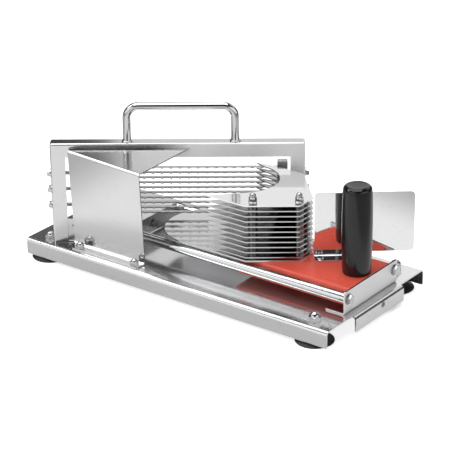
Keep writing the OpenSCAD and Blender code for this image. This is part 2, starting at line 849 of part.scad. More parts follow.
// Outer outline of the carrier and the plates behind the notch
module pusher_outline(x_front) {
    polygon([[x_front, pusher_y0], [corner_x, pusher_y0], [pusher_x1, tail_y0], [pusher_x1, tail_y1],
             [corner_x, pusher_y1], [finger_x + finger_taper, pusher_y1], [finger_x, finger_y]]);
}

module stud_holes(z, t) {
    for (p = stud_spots)
        translate([p[0], p[1], z - over]) cylinder(d = stud_d + 2 * hole_gap, h = t + 2 * over);
}

module carrier_plate() {
    color(steel) difference() {
        translate([0, 0, slide_top]) linear_extrude(carrier_t) {
            pusher_outline(nose_x);
            translate([nose_x, -nose_r]) square([corner_x - nose_x, 2 * nose_r]);
            translate([nose_x, 0]) circle(r = nose_r, $fn = 96);
        }
        stud_holes(slide_top, carrier_t);
    }
}

// Plate with a round notch that opens towards the blades
module pusher_plate() {
    s = notch_r * sqrt(0.5);
    reach = notch_y - s - pusher_y0 + over;
    far = finger_x - notch_r;
    difference() {
        pusher_outline(notch_x + s - reach + over);
        translate([notch_x, notch_y]) circle(r = notch_r, $fn = 96);
        polygon([[notch_x + s, notch_y - s], [notch_x + s - reach, notch_y - s - reach],
                 [far, notch_y - s - reach], [far, finger_y], [finger_x, finger_y],
                 [notch_x, notch_y + notch_r]]);
    }
}

module pusher_plates() {
    color(steel) for (k = [0:blade_n]) {
        z = low_plate + k * blade_pitch;
        difference() {
            translate([0, 0, z]) linear_extrude(plate_t) pusher_plate();
            stud_holes(z, plate_t);
        }
    }
}

module pusher_spacers() {
    color(dark_steel) for (p = stud_spots) {
        translate([p[0], p[1], carrier_top]) washer(stud_d, spacer_d, first_spacer);
        for (k = [0:blade_n - 1])
            translate([p[0], p[1], low_plate + plate_t + k * blade_pitch])
                washer(stud_d, spacer_d, blade_pitch - plate_t);
    }
}

module pusher_studs() {
    color(steel) for (p = stud_spots)
        translate([p[0], p[1], slide_bottom]) {
            sunk_head(stud_d, 0);
            cylinder(d = stud_d, h = top_plate + washer_t + stud_rise - slide_bottom);
        }
}

module pusher_washers() {
    color(dark_steel) for (p = stud_spots)
        translate([p[0], p[1], top_plate]) washer(stud_d, stud_washer_d, washer_t);
}

module pusher_nuts() {
    color(steel) for (p = stud_spots)
        translate([p[0], p[1], top_plate + washer_t])
            dome_nut(stud_d, stud_nut_af, dome_hex_h, stud_nut_h, stud_rise + 0.5);
}

// Places its children in the hand guard's axes: x along its face, y behind it, z up from the slide
module in_hand_guard() {
    translate([hand_x, hand_y, slide_top]) rotate([0, 0, frame_angle]) children();
}

function hand_screw_spots() = [for (s = hand_screw_ends)
    [hand_x + s * cos(frame_angle) + hand_foot * 0.55 * sin(frame_angle),
     hand_y + s * sin(frame_angle) - hand_foot * 0.55 * cos(frame_angle)]];

// Rectangle in x and z with round corners at the top and at the free lower end
module hand_outline() {
    r = hand_corner;
    difference() {
        union() {
            translate([0, hand_bend]) square([hand_foot_l, hand_h - hand_bend - r]);
            translate([0, hand_lift]) square([hand_w - r, hand_h - hand_lift - r]);
            translate([r, hand_h - r - 1]) square([hand_w - 2 * r, r + 1]);
            translate([hand_w - r - 1, hand_lift + r]) square([r + 1, hand_h - hand_lift - 2 * r]);
            translate([r, hand_h - r]) circle(r = r);
            translate([hand_w - r, hand_h - r]) circle(r = r);
            translate([hand_w - r, hand_lift + r]) circle(r = r);
        }
        translate([-over, -over]) square([hand_w + 2 * over, hand_bend + over]);
    }
}

module hand_guard() {
    color(steel) difference() {
        in_hand_guard() {
            along_y(hand_t) hand_outline();
            translate([0, hand_t, 0]) along_x(hand_foot_l) mirror([1, 0])
                angle_section(hand_foot + hand_t, hand_bend + 1, hand_t, bend_r);
        }
        for (p = hand_screw_spots())
            translate([p[0], p[1], slide_top - over])
                cylinder(d = small_d + 2 * hole_gap, h = hand_t + 2 * over);
    }
}

// Pan head screws
module hand_guard_screws() {
    color(steel) for (p = hand_screw_spots())
        translate([p[0], p[1], slide_top + hand_t]) {
            translate([0, 0, -screw_sunk]) cylinder(d = small_d, h = screw_sunk);
            cylinder(d = 2 * small_d, h = small_d / 2);
        }
}

// Barrel shaped grip with a rounded top and a blind thread
module grip() {
    belly = grip_h * 0.5;
    half = (grip_d - grip_end_d) / 2;
    barrel_r = (belly * belly + half * half) / (2 * half);
    foot_r = 2;
    color(black) translate([grip_x, 0, slide_top]) difference() {
        intersection() {
            rotate_extrude() intersection() {
                square([grip_d / 2, grip_h]);
                translate([grip_d / 2 - barrel_r, belly]) circle(r = barrel_r, $fn = 360);
            }
            rotate_extrude() {
                translate([0, foot_r]) square([grip_d, grip_h - grip_round - foot_r]);
                square([grip_end_d / 2 - foot_r, grip_h]);
                translate([grip_end_d / 2 - grip_round, grip_h - grip_round]) intersection() {
                    circle(r = grip_round);
                    square(grip_round);
                }
                translate([grip_end_d / 2 - foot_r, foot_r]) intersection() {
                    circle(r = foot_r);
                    translate([0, -foot_r]) square(foot_r);
                }
            }
        }
        translate([0, 0, -over]) cylinder(d = grip_stud_d + 2 * thread_gap, h = grip_thread + 1 + over);
    }
}

module grip_stud() {
    color(steel) translate([grip_x, 0, slide_bottom]) {
        sunk_head(grip_stud_d, 0);
        cylinder(d = grip_stud_d, h = slide_half + slide_low + grip_thread);
    }
}

base_tray();
feet();
foot_studs();
foot_nuts();
right_rail_bracket();
left_rail_bracket();
front_rail();
back_rail();
rail_bolts();
rail_washers();
stop_bolt();
stop_nut();
blade_frame();
frame_feet();
frame_bolts();
frame_nuts();
left_blade_holder();
right_blade_holder();
blades();
blade_pins();
tension_bolts();
tension_washers();
carry_handle();
handle_collars();
handle_screws();
front_guard();
guard_bolts();
guard_nuts();
upper_slide();
lower_slide();
slide_screws();
carrier_plate();
pusher_plates();
pusher_spacers();
pusher_studs();
pusher_washers();
pusher_nuts();
hand_guard();
hand_guard_screws();
grip();
grip_stud();
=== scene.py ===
"""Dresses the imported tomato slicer: sheet steel, rails, blades, pusher plates, red block, grip and feet.

Sizes are in millimetres in the slicer's own frame. Bench.hand_over turns a finished mesh into metres.
"""

import json
import logging
import math
from dataclasses import dataclass
from enum import Enum
from typing import Callable, Iterable, Sequence

import bmesh
import bpy
from mathutils import Matrix, Vector


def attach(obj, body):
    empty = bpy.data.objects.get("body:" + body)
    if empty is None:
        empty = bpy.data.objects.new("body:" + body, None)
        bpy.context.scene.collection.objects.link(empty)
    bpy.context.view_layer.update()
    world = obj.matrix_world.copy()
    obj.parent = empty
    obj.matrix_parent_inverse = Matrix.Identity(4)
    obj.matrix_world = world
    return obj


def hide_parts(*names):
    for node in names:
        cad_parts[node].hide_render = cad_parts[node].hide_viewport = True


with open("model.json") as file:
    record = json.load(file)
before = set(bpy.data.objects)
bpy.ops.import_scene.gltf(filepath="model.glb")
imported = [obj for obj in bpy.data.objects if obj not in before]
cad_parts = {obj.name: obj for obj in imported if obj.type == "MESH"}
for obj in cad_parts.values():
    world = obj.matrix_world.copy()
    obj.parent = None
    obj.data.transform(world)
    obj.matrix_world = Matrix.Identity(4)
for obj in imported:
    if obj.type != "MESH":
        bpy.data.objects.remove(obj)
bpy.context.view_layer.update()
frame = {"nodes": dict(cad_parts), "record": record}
LOG = logging.getLogger("slicer")

Point = tuple[float, float, float]
Flat = tuple[float, float]
Piece = bpy.types.Object
Tree = bpy.types.NodeTree
Socket = bpy.types.NodeSocket
Feed = Socket | float | tuple[float, ...]
NEAR = 0.01
MM = 0.001


class Body(Enum):
    """The two rigid bodies of the slicer."""

    BASE = "base"
    TROLLEY = "trolley"


class Pick(Enum):
    """What an edit-mode selection takes."""

    VERT = "VERT"
    EDGE = "EDGE"
    FACE = "FACE"


@dataclass(frozen=True)
class Plan:
    """Main places and sizes that several pieces share."""

    base_x0: float = -216.5
    base_x1: float = 211.5
    base_top: float = 23.5
    half_width: float = 98.0
    frame_x: float = -180.5
    frame_y: float = -90.3
    frame_length: float = 295.0
    frame_turn: float = math.asin(172.6 / 295.0)
    frame_top: float = 148.225
    rail_y: float = 46.0
    rail_z: float = 40.9
    slide_x0: float = 52.5
    slide_x1: float = 202.0
    slide_top: float = 50.5
    slide_bottom: float = 32.5
    right_face: float = 204.5
    left_face: float = -103.5

    def frame_place(self) -> Matrix:
        """Returns the matrix from the blade frame's own axes to the slicer's."""
        corner = Matrix.Translation((self.frame_x, self.frame_y, 0.0))
        return corner @ Matrix.Rotation(self.frame_turn, 4, "Z")

    def on_frame(self, along: float, behind: float) -> Flat:
        """Gives a place on the blade frame.

        Args:
            along: distance along the frame from its front left corner.
            behind: distance behind its front face.

        Returns:
            The place in plan.
        """
        spot = self.frame_place() @ Vector((along, behind, 0.0))
        return (spot.x, spot.y)


PLAN = Plan()
UPRIGHT = Matrix.Rotation(math.radians(90.0), 4, "X")
FACING_X = Matrix(((0, 0, 1, 0), (1, 0, 0, 0), (0, 1, 0, 0), (0, 0, 0, 1)))


class Bench:
    """The modelling operators that every piece is made with."""

    @staticmethod
    def clear() -> None:
        """Leaves edit mode and deselects everything."""
        active = bpy.context.view_layer.objects.active
        if active is not None and active.mode != "OBJECT":
            bpy.ops.object.mode_set(mode="OBJECT")
        bpy.ops.object.select_all(action="DESELECT")

    @staticmethod
    def hold(piece: Piece) -> None:
        """Makes a piece the only selected object, and active."""
        Bench.clear()
        piece.select_set(True)
        bpy.context.view_layer.objects.active = piece

    @staticmethod
    def settle(piece: Piece) -> None:
        """Bakes a piece's place, turn and scale into its mesh."""
        Bench.hold(piece)
        bpy.ops.object.transform_apply(location=True, rotation=True, scale=True)

    @staticmethod
    def move(piece: Piece, place: Matrix) -> Piece:
        """Moves a whole piece and bakes the move into its mesh."""
        piece.matrix_world = place @ piece.matrix_world
        Bench.settle(piece)
        return piece

    @staticmethod
    def added(name: str) -> Piece:
        """Names the primitive that was just added and bakes its place into its mesh."""
        piece = bpy.context.object
        piece.name = name
        Bench.settle(piece)
        return piece

    @staticmethod
    def plate(name: str, across: Flat, deep: Flat, place: Matrix) -> Piece:
        """Adds a flat rectangle.

        Args:
            name: name of the new object.
            across: its range in its own x.
            deep: its range in its own y.
            place: matrix that turns and moves it.

        Returns:
            The new object.
        """
        Bench.clear()
        middle = ((across[0] + across[1]) / 2, (deep[0] + deep[1]) / 2, 0.0)
        bpy.ops.mesh.primitive_plane_add(size=1.0, location=middle)
        bpy.context.object.scale = (across[1] - across[0], deep[1] - deep[0], 1.0)
        return Bench.move(Bench.added(name), place)

    @staticmethod
    def pick(piece: Piece, kind: Pick, test: Callable[[Vector], bool]) -> None:
        """Selects, in edit mode, what has all its corners where the test says.

        Args:
            piece: the object to work on.
            kind: vertices, edges or faces.
            test: tells whether a corner's place counts.
        """
        Bench.hold(piece)
        bpy.ops.object.mode_set(mode="EDIT")
        bpy.ops.mesh.select_mode(type=kind.value)
        bpy.ops.mesh.select_all(action="DESELECT")
        mesh = bmesh.from_edit_mesh(piece.data)
        group = {Pick.VERT: mesh.verts, Pick.EDGE: mesh.edges, Pick.FACE: mesh.faces}[kind]
        for part in group:
            corners = [part] if kind is Pick.VERT else part.verts
            if all(test(corner.co) for corner in corners):
                part.select_set(True)
        mesh.select_flush_mode()
        bmesh.update_edit_mesh(piece.data)

    @staticmethod
    def pick_all(piece: Piece) -> None:
        """Selects the whole mesh of a piece in edit mode."""
        Bench.pick(piece, Pick.VERT, lambda place: True)

    @staticmethod
    def draw_out(by: Point) -> None:
        """Extrudes the selection by a step."""
        bpy.ops.mesh.extrude_region_move(TRANSFORM_OT_translate={"value": by})

    @staticmethod
    def swing(turn: float, centre: Point, axis: Point, steps: int) -> None:
        """Spins the selection about an axis, anticlockwise for a positive turn in degrees."""
        bpy.ops.mesh.spin(steps=steps, angle=-math.radians(turn), center=centre, axis=axis)

    @staticmethod
    def round_off(radius: float, steps: int, corners: bool = False) -> None:
        """Bevels the selected edges, or the selected corners."""
        bpy.ops.mesh.bevel(offset=radius, segments=steps, profile=0.5, clamp_overlap=True,
                           affect="VERTICES" if corners else "EDGES")

    @staticmethod
    def weld(piece: Piece) -> None:
        """Merges the doubles of a piece and leaves its whole mesh selected in edit mode."""
        Bench.pick_all(piece)
        bpy.ops.mesh.remove_doubles(threshold=NEAR)
        bpy.ops.mesh.select_all(action="SELECT")

    @staticmethod
    def slice(piece: Piece, point: Point, normal: Point) -> None:
        """Cuts new edges where a plane passes through the whole piece."""
        Bench.pick_all(piece)
        bpy.ops.mesh.bisect(plane_co=point, plane_no=normal)

    @staticmethod
    def close(piece: Piece) -> None:
        """Merges doubles, fills the open ends and points the faces outwards."""
        Bench.weld(piece)
        bpy.ops.mesh.fill_holes(sides=0)
        bpy.ops.mesh.select_all(action="SELECT")
        bpy.ops.mesh.normals_make_consistent(inside=False)
        Bench.clear()

    @staticmethod
    def face_out(piece: Piece, outward: Point) -> None:
        """Points an open sheet's faces so that its largest one looks outward."""
        Bench.weld(piece)
        bpy.ops.mesh.normals_make_consistent(inside=False)
        mesh = bmesh.from_edit_mesh(piece.data)
        largest = max(mesh.faces, key=lambda face: face.calc_area())
        if largest.normal.dot(Vector(outward)) < 0:
            bpy.ops.mesh.flip_normals()
        Bench.clear()

    @staticmethod
    def modify(piece: Piece, kind: str, **settings: object) -> None:
        """Adds a modifier with its settings and applies it."""
        Bench.hold(piece)
        modifier = piece.modifiers.new(kind, kind)
        for key, value in settings.items():
            setattr(modifier, key, value)
        bpy.ops.object.modifier_apply(modifier=modifier.name)

    @staticmethod
    def thicken(piece: Piece, thickness: float) -> None:
        """Gives a folded sheet its thickness on its inner side."""
        Bench.modify(piece, "SOLIDIFY", thickness=thickness, offset=-1.0, use_even_offset=True)

    @staticmethod
    def soften(piece: Piece, width: float) -> None:
        """Breaks the sharp edges of a piece with a small bevel."""
        Bench.modify(piece, "BEVEL", width=width, segments=2, limit_method="ANGLE",
                     angle_limit=math.radians(38.0), use_clamp_overlap=True)

    @staticmethod
    def combine(piece: Piece, tool: Piece, how: str) -> None:
        """Cuts, keeps or adds a tool body, and throws the tool away."""
        Bench.modify(piece, "BOOLEAN", object=tool, operation=how, solver="EXACT")
        bpy.data.objects.remove(tool, do_unlink=True)

    @staticmethod
    def join(pieces: Sequence[Piece], name: str) -> Piece:
        """Joins pieces into one object.

        Args:
            pieces: the objects to join.
            name: name of the result.

        Returns:
            The joined object.
        """
        Bench.hold(pieces[0])
        for piece in pieces:
            piece.select_set(True)
        if len(pieces) > 1:
            bpy.ops.object.join()
        pieces[0].name = name
        return pieces[0]

    @staticmethod
    def copies(piece: Piece, places: Iterable[Matrix]) -> Piece:
        """Copies a piece to several places, each copy with its own mesh, and joins them.

        Args:
            piece: the model, which is used up.
            places: one matrix per copy.

        Returns:
            The joined object, under the model's name.
        """
        name = piece.name
        made = []
        for place in places:
            twin = piece.copy()
            twin.data = piece.data.copy()
            bpy.context.collection.objects.link(twin)
            made.append(Bench.move(twin, place))
        bpy.data.objects.remove(piece, do_unlink=True)
        return Bench.join(made, name)

    @staticmethod
    def turned(name: str, rings: Sequence[Flat], sides: int) -> Piece:
        """Builds a turned piece ring by ring.

        Args:
            name: name of the new object.
            rings: radius and height of each ring, from one end to the other.
            sides: number of sides of a ring.

        Returns:
            The new closed object, standing on its axis at the origin.
        """
        Bench.clear()
        radius, height = rings[0]
        bpy.ops.mesh.primitive_circle_add(vertices=sides, radius=radius, location=(0.0, 0.0, height))
        piece = Bench.added(name)
        Bench.pick_all(piece)
        for last, ring in zip(rings, rings[1:]):
            Bench.draw_out((0.0, 0.0, ring[1] - last[1]))
            ratio = ring[0] / last[0]
            bpy.ops.transform.resize(value=(ratio, ratio, 1.0), center_override=(0.0, 0.0, ring[1]))
        Bench.close(piece)
        return piece

    @staticmethod
    def dot(name: str, spot: Flat) -> Piece:
        """Starts a drawing with a single corner, selected in edit mode."""
        Bench.clear()
        bpy.ops.mesh.primitive_plane_add(size=1.0)
        piece = Bench.added(name)
        Bench.pick_all(piece)
        bpy.ops.mesh.merge(type="CENTER")
        bpy.ops.transform.translate(value=(*spot, 0.0))
        return piece

    @staticmethod
    def outline(name: str, start: Flat, path: Sequence[tuple]) -> Piece:
        """Draws a closed flat face corner by corner.

        Args:
            name: name of the new object.
            start: first corner.
            path: either a corner (x, y), or an arc (centre x, centre y, turn in degrees, steps).

        Returns:
            The new object, one face in its own x and y.
        """
        piece = Bench.dot(name, start)
        here = Vector((*start, 0.0))
        for step in path:
            if len(step) == 2:
                there = Vector((*step, 0.0))
                Bench.draw_out(tuple(there - here))
            else:
                centre = Vector((step[0], step[1], 0.0))
                Bench.swing(step[2], tuple(centre), (0.0, 0.0, 1.0), step[3])
                there = centre + Matrix.Rotation(math.radians(step[2]), 3, "Z") @ (here - centre)
            here = there
        Bench.weld(piece)
        bpy.ops.mesh.edge_face_add()
        Bench.clear()
        return piece

    @staticmethod
    def raise_up(piece: Piece, height: float) -> None:
        """Extrudes a flat face into a closed solid."""
        Bench.pick_all(piece)
        Bench.draw_out((0.0, 0.0, height))
        bpy.ops.mesh.select_all(action="SELECT")
        bpy.ops.mesh.normals_make_consistent(inside=False)
        Bench.clear()

    @staticmethod
    def drill(piece: Piece, holes: Sequence[tuple[Point, str, float, float]]) -> None:
        """Bores round holes.

        Args:
            piece: the piece to bore.
            holes: middle, axis letter, radius and length of each hole.
        """
        turns = {"X": (0.0, math.radians(90.0), 0.0), "Z": (0.0, 0.0, 0.0)}
        bits = []
        for middle, axis, radius, length in holes:
            Bench.clear()
            bpy.ops.mesh.primitive_cylinder_add(vertices=40, radius=radius, depth=length, location=middle,
                                                rotation=turns[axis])
            bits.append(Bench.added("drill_bit"))
        Bench.combine(piece, Bench.join(bits, "drill_bits"), "DIFFERENCE")

    @staticmethod
    def hand_over(piece: Piece, body: Body, slot: str, finish: "Finish",
                  stands_for: Sequence[str], angle: float = 35.0) -> None:
        """Finishes a piece: metres, shading, material, body and the node that it stands for.

        Args:
            piece: the finished mesh, in millimetres.
            body: the body that carries it.
            slot: the record's material slot, not used.
            finish: the finish that dresses it.
            stands_for: nodes that it replaces.
            angle: edges sharper than this stay sharp, in degrees.
        """
        Bench.move(piece, Matrix.Scale(MM, 4))
        Bench.hold(piece)
        bpy.ops.object.shade_smooth_by_angle(angle=math.radians(angle))
        Bench.modify(piece, "WEIGHTED_NORMAL", keep_sharp=True, weight=100)
        piece.data.materials.clear()
        piece.data.materials.append(finish.material())
        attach(piece, body.value)
        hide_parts(*stands_for)
        LOG.info("%s: %d faces on %s", piece.name, len(piece.data.polygons), body.value)


class Wiring:
    """Adds shader nodes and joins them up."""

    @staticmethod
    def add(tree: Tree, kind: str, feeds: dict[str | int, Feed], **settings: object) -> bpy.types.Node:
        """Adds a shader node.

        Args:
            tree: the tree that it goes into.
            kind: its type, without the leading ShaderNode.
            feeds: for each input that is set, a value or the socket that feeds it.
            settings: its own settings, which are made first.

        Returns:
            The new node.
        """
        node = tree.nodes.new(f"ShaderNode{kind}")
        for key, value in settings.items():
            setattr(node, key, value)
        for key, feed in feeds.items():
            if isinstance(feed, Socket):
                tree.links.new(feed, node.inputs[key])
            else:
                node.inputs[key].default_value = feed
        return node

    @staticmethod
    def span(tree: Tree, value: Feed, given: Flat, result: Flat = (0.0, 1.0), soft: bool = False) -> Socket:
        """Maps one range to another.

        Args:
            tree: the tree that the node goes into.
            value: the socket to map.
            given: its range.
            result: the range that comes out.
            soft: whether the ends are eased.

        Returns:
            The socket with the mapped value.
        """
        feeds = {"Value": value, "From Min": given[0], "From Max": given[1],
                 "To Min": result[0], "To Max": result[1]}
        easing = "SMOOTHSTEP" if soft else "LINEAR"
        return Wiring.add(tree, "MapRange", feeds, interpolation_type=easing).outputs["Result"]

    @staticmethod
    def mix(tree: Tree, share: Feed, first: Feed, second: Feed, kind: str = "RGBA") -> Socket:
        """Mixes two colours, or two values where kind is FLOAT, by a share of the second."""
        feeds = {"Factor": share, "A": first, "B": second}
        return Wiring.add(tree, "Mix", feeds, data_type=kind).outputs["Result"]

    @staticmethod
    def reckon(tree: Tree, operation: str, *values: Feed) -> Socket:
        """Reckons with sockets and values."""
        return Wiring.add(tree, "Math", dict(enumerate(values)), operation=operation).outputs[0]

    @staticmethod
    def part(tree: Tree, vector: Feed, axis: str) -> Socket:
        """Takes one axis of a vector."""
        return Wiring.add(tree, "SeparateXYZ", {"Vector": vector}).outputs[axis]

    @staticmethod
    def noise(tree: Tree, vector: Feed, scale: Feed, detail: float, roughness: float = 0.5) -> Socket:
        """Adds a noise pattern."""
        feeds = {"Vector": vector, "Scale": scale, "Detail": detail, "Roughness": roughness}
        return Wiring.add(tree, "TexNoise", feeds).outputs["Fac"]


class Groups:
    """Shader node groups that the finishes share."""

    @staticmethod
    def start(name: str, inputs: dict[str, str], outputs: Sequence[str]) -> Tree:
        """Makes a group with its sockets and its two end nodes.

        Args:
            name: name of the group.
            inputs: socket type of each input, by name.
            outputs: name of each output, all of them values.

        Returns:
            The group's tree.
        """
        tree = bpy.data.node_groups.new(name, "ShaderNodeTree")
        for label, kind in inputs.items():
            tree.interface.new_socket(name=label, in_out="INPUT", socket_type=kind)
        for label in outputs:
            tree.interface.new_socket(name=label, in_out="OUTPUT", socket_type="NodeSocketFloat")
        tree.nodes.new("NodeGroupInput")
        tree.nodes.new("NodeGroupOutput")
        return tree

    @staticmethod
    def rolled_sheet() -> Tree:
        """Returns the group with the fine grain, the handling marks and the cloudy polish of rolled steel."""
        known = bpy.data.node_groups.get("rolled_sheet")
        if known is not None:
            return known
        inputs = {"Vector": "NodeSocketVector", "Stretch": "NodeSocketVector", "Cloud": "NodeSocketFloat"}
        tree = Groups.start("rolled_sheet", inputs, ("Grain", "Cloud", "Marks"))
        given, result = tree.nodes["Group Input"].outputs, tree.nodes["Group Output"].inputs
        feeds = {0: given["Vector"], 1: given["Stretch"]}
        stretched = Wiring.add(tree, "VectorMath", feeds, operation="MULTIPLY").outputs[0]
        grain = Wiring.noise(tree, stretched, 1.0, 3.0)
        cloud = Wiring.noise(tree, given["Vector"], given["Cloud"], 4.0)
        marks = Wiring.noise(tree, given["Vector"], 160.0, 6.0, 0.7)
        marks = Wiring.span(tree, marks, (0.56, 0.74))
        for label, socket in (("Grain", grain), ("Cloud", cloud), ("Marks", marks)):
            tree.links.new(socket, result[label])
        return tree

    @staticmethod
    def moulded_skin() -> Tree:
        """Returns the group with the fine pitting and the slow colour drift of moulded plastic and rubber."""
        known = bpy.data.node_groups.get("moulded_skin")
        if known is not None:
            return known
        inputs = {"Vector": "NodeSocketVector", "Pit": "NodeSocketFloat", "Drift": "NodeSocketFloat"}
        tree = Groups.start("moulded_skin", inputs, ("Pit", "Drift"))
        given, result = tree.nodes["Group Input"].outputs, tree.nodes["Group Output"].inputs
        for label, detail in (("Pit", 2.0), ("Drift", 5.0)):
            tree.links.new(Wiring.noise(tree, given["Vector"], given[label], detail), result[label])
        return tree


@dataclass(frozen=True)
class Finish:
    """A finish: what every material of the slicer has in common."""

    name: str
    tint: Point
    shade: Point
    smooth: float
    rough: float
    bump: float

    def start(self) -> tuple[bpy.types.Material, Tree, Socket]:
        """Makes the material.

        Returns:
            The material, its tree and its object coordinates.
        """
        material = bpy.data.materials.new(self.name)
        material.use_nodes = True
        tree = material.node_tree
        return material, tree, Wiring.add(tree, "TexCoord", {}).outputs["Object"]

    def blend(self, tree: Tree, colour_by: Socket, rough_by: Socket, height: Socket, depth: float) -> None:
        """Wires colour, roughness and bump to the values that drive them.

        Args:
            tree: the material's tree.
            colour_by: socket that mixes tint and shade.
            rough_by: socket that mixes smooth and rough.
            height: socket that gives the bump height.
            depth: distance of the bump, in metres.
        """
        bump = Wiring.add(tree, "Bump", {"Strength": self.bump, "Distance": depth, "Height": height})
        feeds = {"Base Color": Wiring.mix(tree, colour_by, (*self.tint, 1.0), (*self.shade, 1.0)),
                 "Roughness": Wiring.span(tree, rough_by, (0.3, 0.7), (self.smooth, self.rough)),
                 "Normal": bump.outputs["Normal"]}
        for label, socket in feeds.items():
            tree.links.new(socket, tree.nodes["Principled BSDF"].inputs[label])

    def material(self) -> bpy.types.Material:
        """Returns the material, made once."""
        return bpy.data.materials.get(self.name) or self.make()

    def make(self) -> bpy.types.Material:
        """Builds the material."""
        raise NotImplementedError


@dataclass(frozen=True)
class Steel(Finish):
    """Stainless steel, from satin to mirror."""

    turn: float = 0.0
    stretch: Point = (40.0, 1400.0, 1400.0)
    cloud: float = 14.0
    metal: float = 1.0
    depth: float = 0.00004

    def make(self) -> bpy.types.Material:
        """Builds the material: a metal with rolled grain, cloudy polish and faint marks."""
        material, tree, coords = self.start()
        turner = Wiring.add(tree, "Mapping", {"Vector": coords, "Rotation": (0.0, 0.0, -self.turn)})
        feeds = {"Vector": turner.outputs["Vector"], "Stretch": self.stretch, "Cloud": self.cloud}
        sheet = Wiring.add(tree, "Group", feeds, node_tree=Groups.rolled_sheet()).outputs
        tree.nodes["Principled BSDF"].inputs["Metallic"].default_value = self.metal
        self.blend(tree, sheet["Marks"], sheet["Cloud"], sheet["Grain"], self.depth)
        return material


@dataclass(frozen=True)
class Moulded(Finish):
    """Plastic or rubber with a fine moulded skin."""

    pit: float = 1800.0
    drift: float = 22.0
    depth: float = 0.00003

    def make(self) -> bpy.types.Material:
        """Builds the material: a plastic with fine pits and a slow drift of colour and gloss."""
        material, tree, coords = self.start()
        feeds = {"Vector": coords, "Pit": self.pit, "Drift": self.drift}
        skin = Wiring.add(tree, "Group", feeds, node_tree=Groups.moulded_skin()).outputs
        self.blend(tree, skin["Drift"], skin["Drift"], skin["Pit"], self.depth)
        return material


@dataclass(frozen=True)
class SlopeShadedSteel(Steel):
    """Steel whose sloped faces are painted darker than its flats: painted shade on the ground edges."""

    # painted shade: colour of the sloped faces
    slope_shade: Point = (0.28, 0.28, 0.285)
    lean: Flat = (0.99, 0.965)

    def make(self) -> bpy.types.Material:
        """Builds the material, with painted shade on the slopes, told from the flats by how far they lean."""
        material = Steel.make(self)
        tree = material.node_tree
        colour = tree.nodes["Principled BSDF"].inputs["Base Color"]
        # painted shade goes on faces that lean away from flat
        facing = Wiring.add(tree, "NewGeometry", {}).outputs["Normal"]
        upright = Wiring.reckon(tree, "ABSOLUTE", Wiring.part(tree, facing, "Z"))
        shade_share = Wiring.span(tree, upright, self.lean)
        tree.links.new(Wiring.mix(tree, shade_share, colour.links[0].from_socket, (*self.slope_shade, 1.0)), colour)
        return material


@dataclass(frozen=True)
class GradedSteel(Steel):
    """Steel that is polished at one end and on top, and rougher on its upright faces at the other end, where
    a lighter, whiter colour and less metal are painted light.
    """

    satin: float = 0.55
    # painted light: the lighter, whiter colour and lower metal of the upright faces at the far end
    painted_light_tint: Point = (0.94, 0.94, 0.945)
    painted_light_metal: float = 0.4
    change: Flat = (-0.09, -0.02)
    upright: Flat = (0.8, 0.4)

    def make(self) -> bpy.types.Material:
        """Builds the material, with the polish giving way along the turned x to a rougher face with a painted
        lighter tint.
        """
        material = Steel.make(self)
        tree = material.node_tree
        turned = tree.nodes["Mapping"].outputs["Vector"]
        along = Wiring.span(tree, Wiring.part(tree, turned, "X"), self.change, soft=True)
        facing = Wiring.add(tree, "NewGeometry", {}).outputs["Normal"]
        upright = Wiring.span(tree, Wiring.part(tree, facing, "Z"), self.upright)
        # share of rougher polish and painted light
        share = Wiring.reckon(tree, "MULTIPLY", along, upright)
        for label, kind, end in (("Roughness", "FLOAT", self.satin), ("Metallic", "FLOAT", self.painted_light_metal),
                                 ("Base Color", "RGBA", (*self.painted_light_tint, 1.0))):
            known = tree.nodes["Principled BSDF"].inputs[label]
            start = known.links[0].from_socket if known.is_linked else known.default_value
            tree.links.new(Wiring.mix(tree, share, start, end, kind), known)
        return material


BASE_STEEL = Steel("base_steel_polished", (0.72, 0.72, 0.725), (0.64, 0.64, 0.645), 0.12, 0.18, 0.05,
                   metal=0.93)
# painted light: the upright faces toward the frame's right end are painted lighter through GradedSteel
FRAME_STEEL = GradedSteel("frame_steel_graded", (0.70, 0.70, 0.705), (0.625, 0.625, 0.63), 0.14, 0.20, 0.08,
                          turn=PLAN.frame_turn)
GUARD_STEEL = Steel("guard_steel_polished", (0.75, 0.75, 0.755), (0.68, 0.68, 0.685), 0.16, 0.22, 0.05,
                    stretch=(1400.0, 1400.0, 40.0))
BRIGHT_STEEL = Steel("bright_steel_polished", (0.72, 0.725, 0.73), (0.64, 0.64, 0.645), 0.06, 0.11, 0.03)
MIRROR_STEEL = Steel("mirror_steel", (0.86, 0.86, 0.865), (0.79, 0.79, 0.795), 0.03, 0.06, 0.01,
                     turn=PLAN.frame_turn, cloud=9.0)
PLATE_STEEL = Steel("plate_steel_satin", (0.60, 0.60, 0.605), (0.53, 0.53, 0.535), 0.08, 0.13, 0.04)
# painted light: the top pusher plate is painted far lighter than the same plates below it, standing in for
# the light on the open top of the stack
TOP_PLATE_PAINTED_LIGHT = Steel("top_plate_painted_light", (0.94, 0.94, 0.945), (0.89, 0.89, 0.895), 0.09, 0.14, 0.04, metal=0.9)
HANDLE_STEEL = Steel("handle_steel", (0.63, 0.63, 0.635), (0.55, 0.55, 0.555), 0.06, 0.11, 0.03)
CARRIER_STEEL = Steel("carrier_steel_polished", (0.74, 0.74, 0.745), (0.68, 0.68, 0.685), 0.07, 0.12, 0.03,
                      metal=0.88)
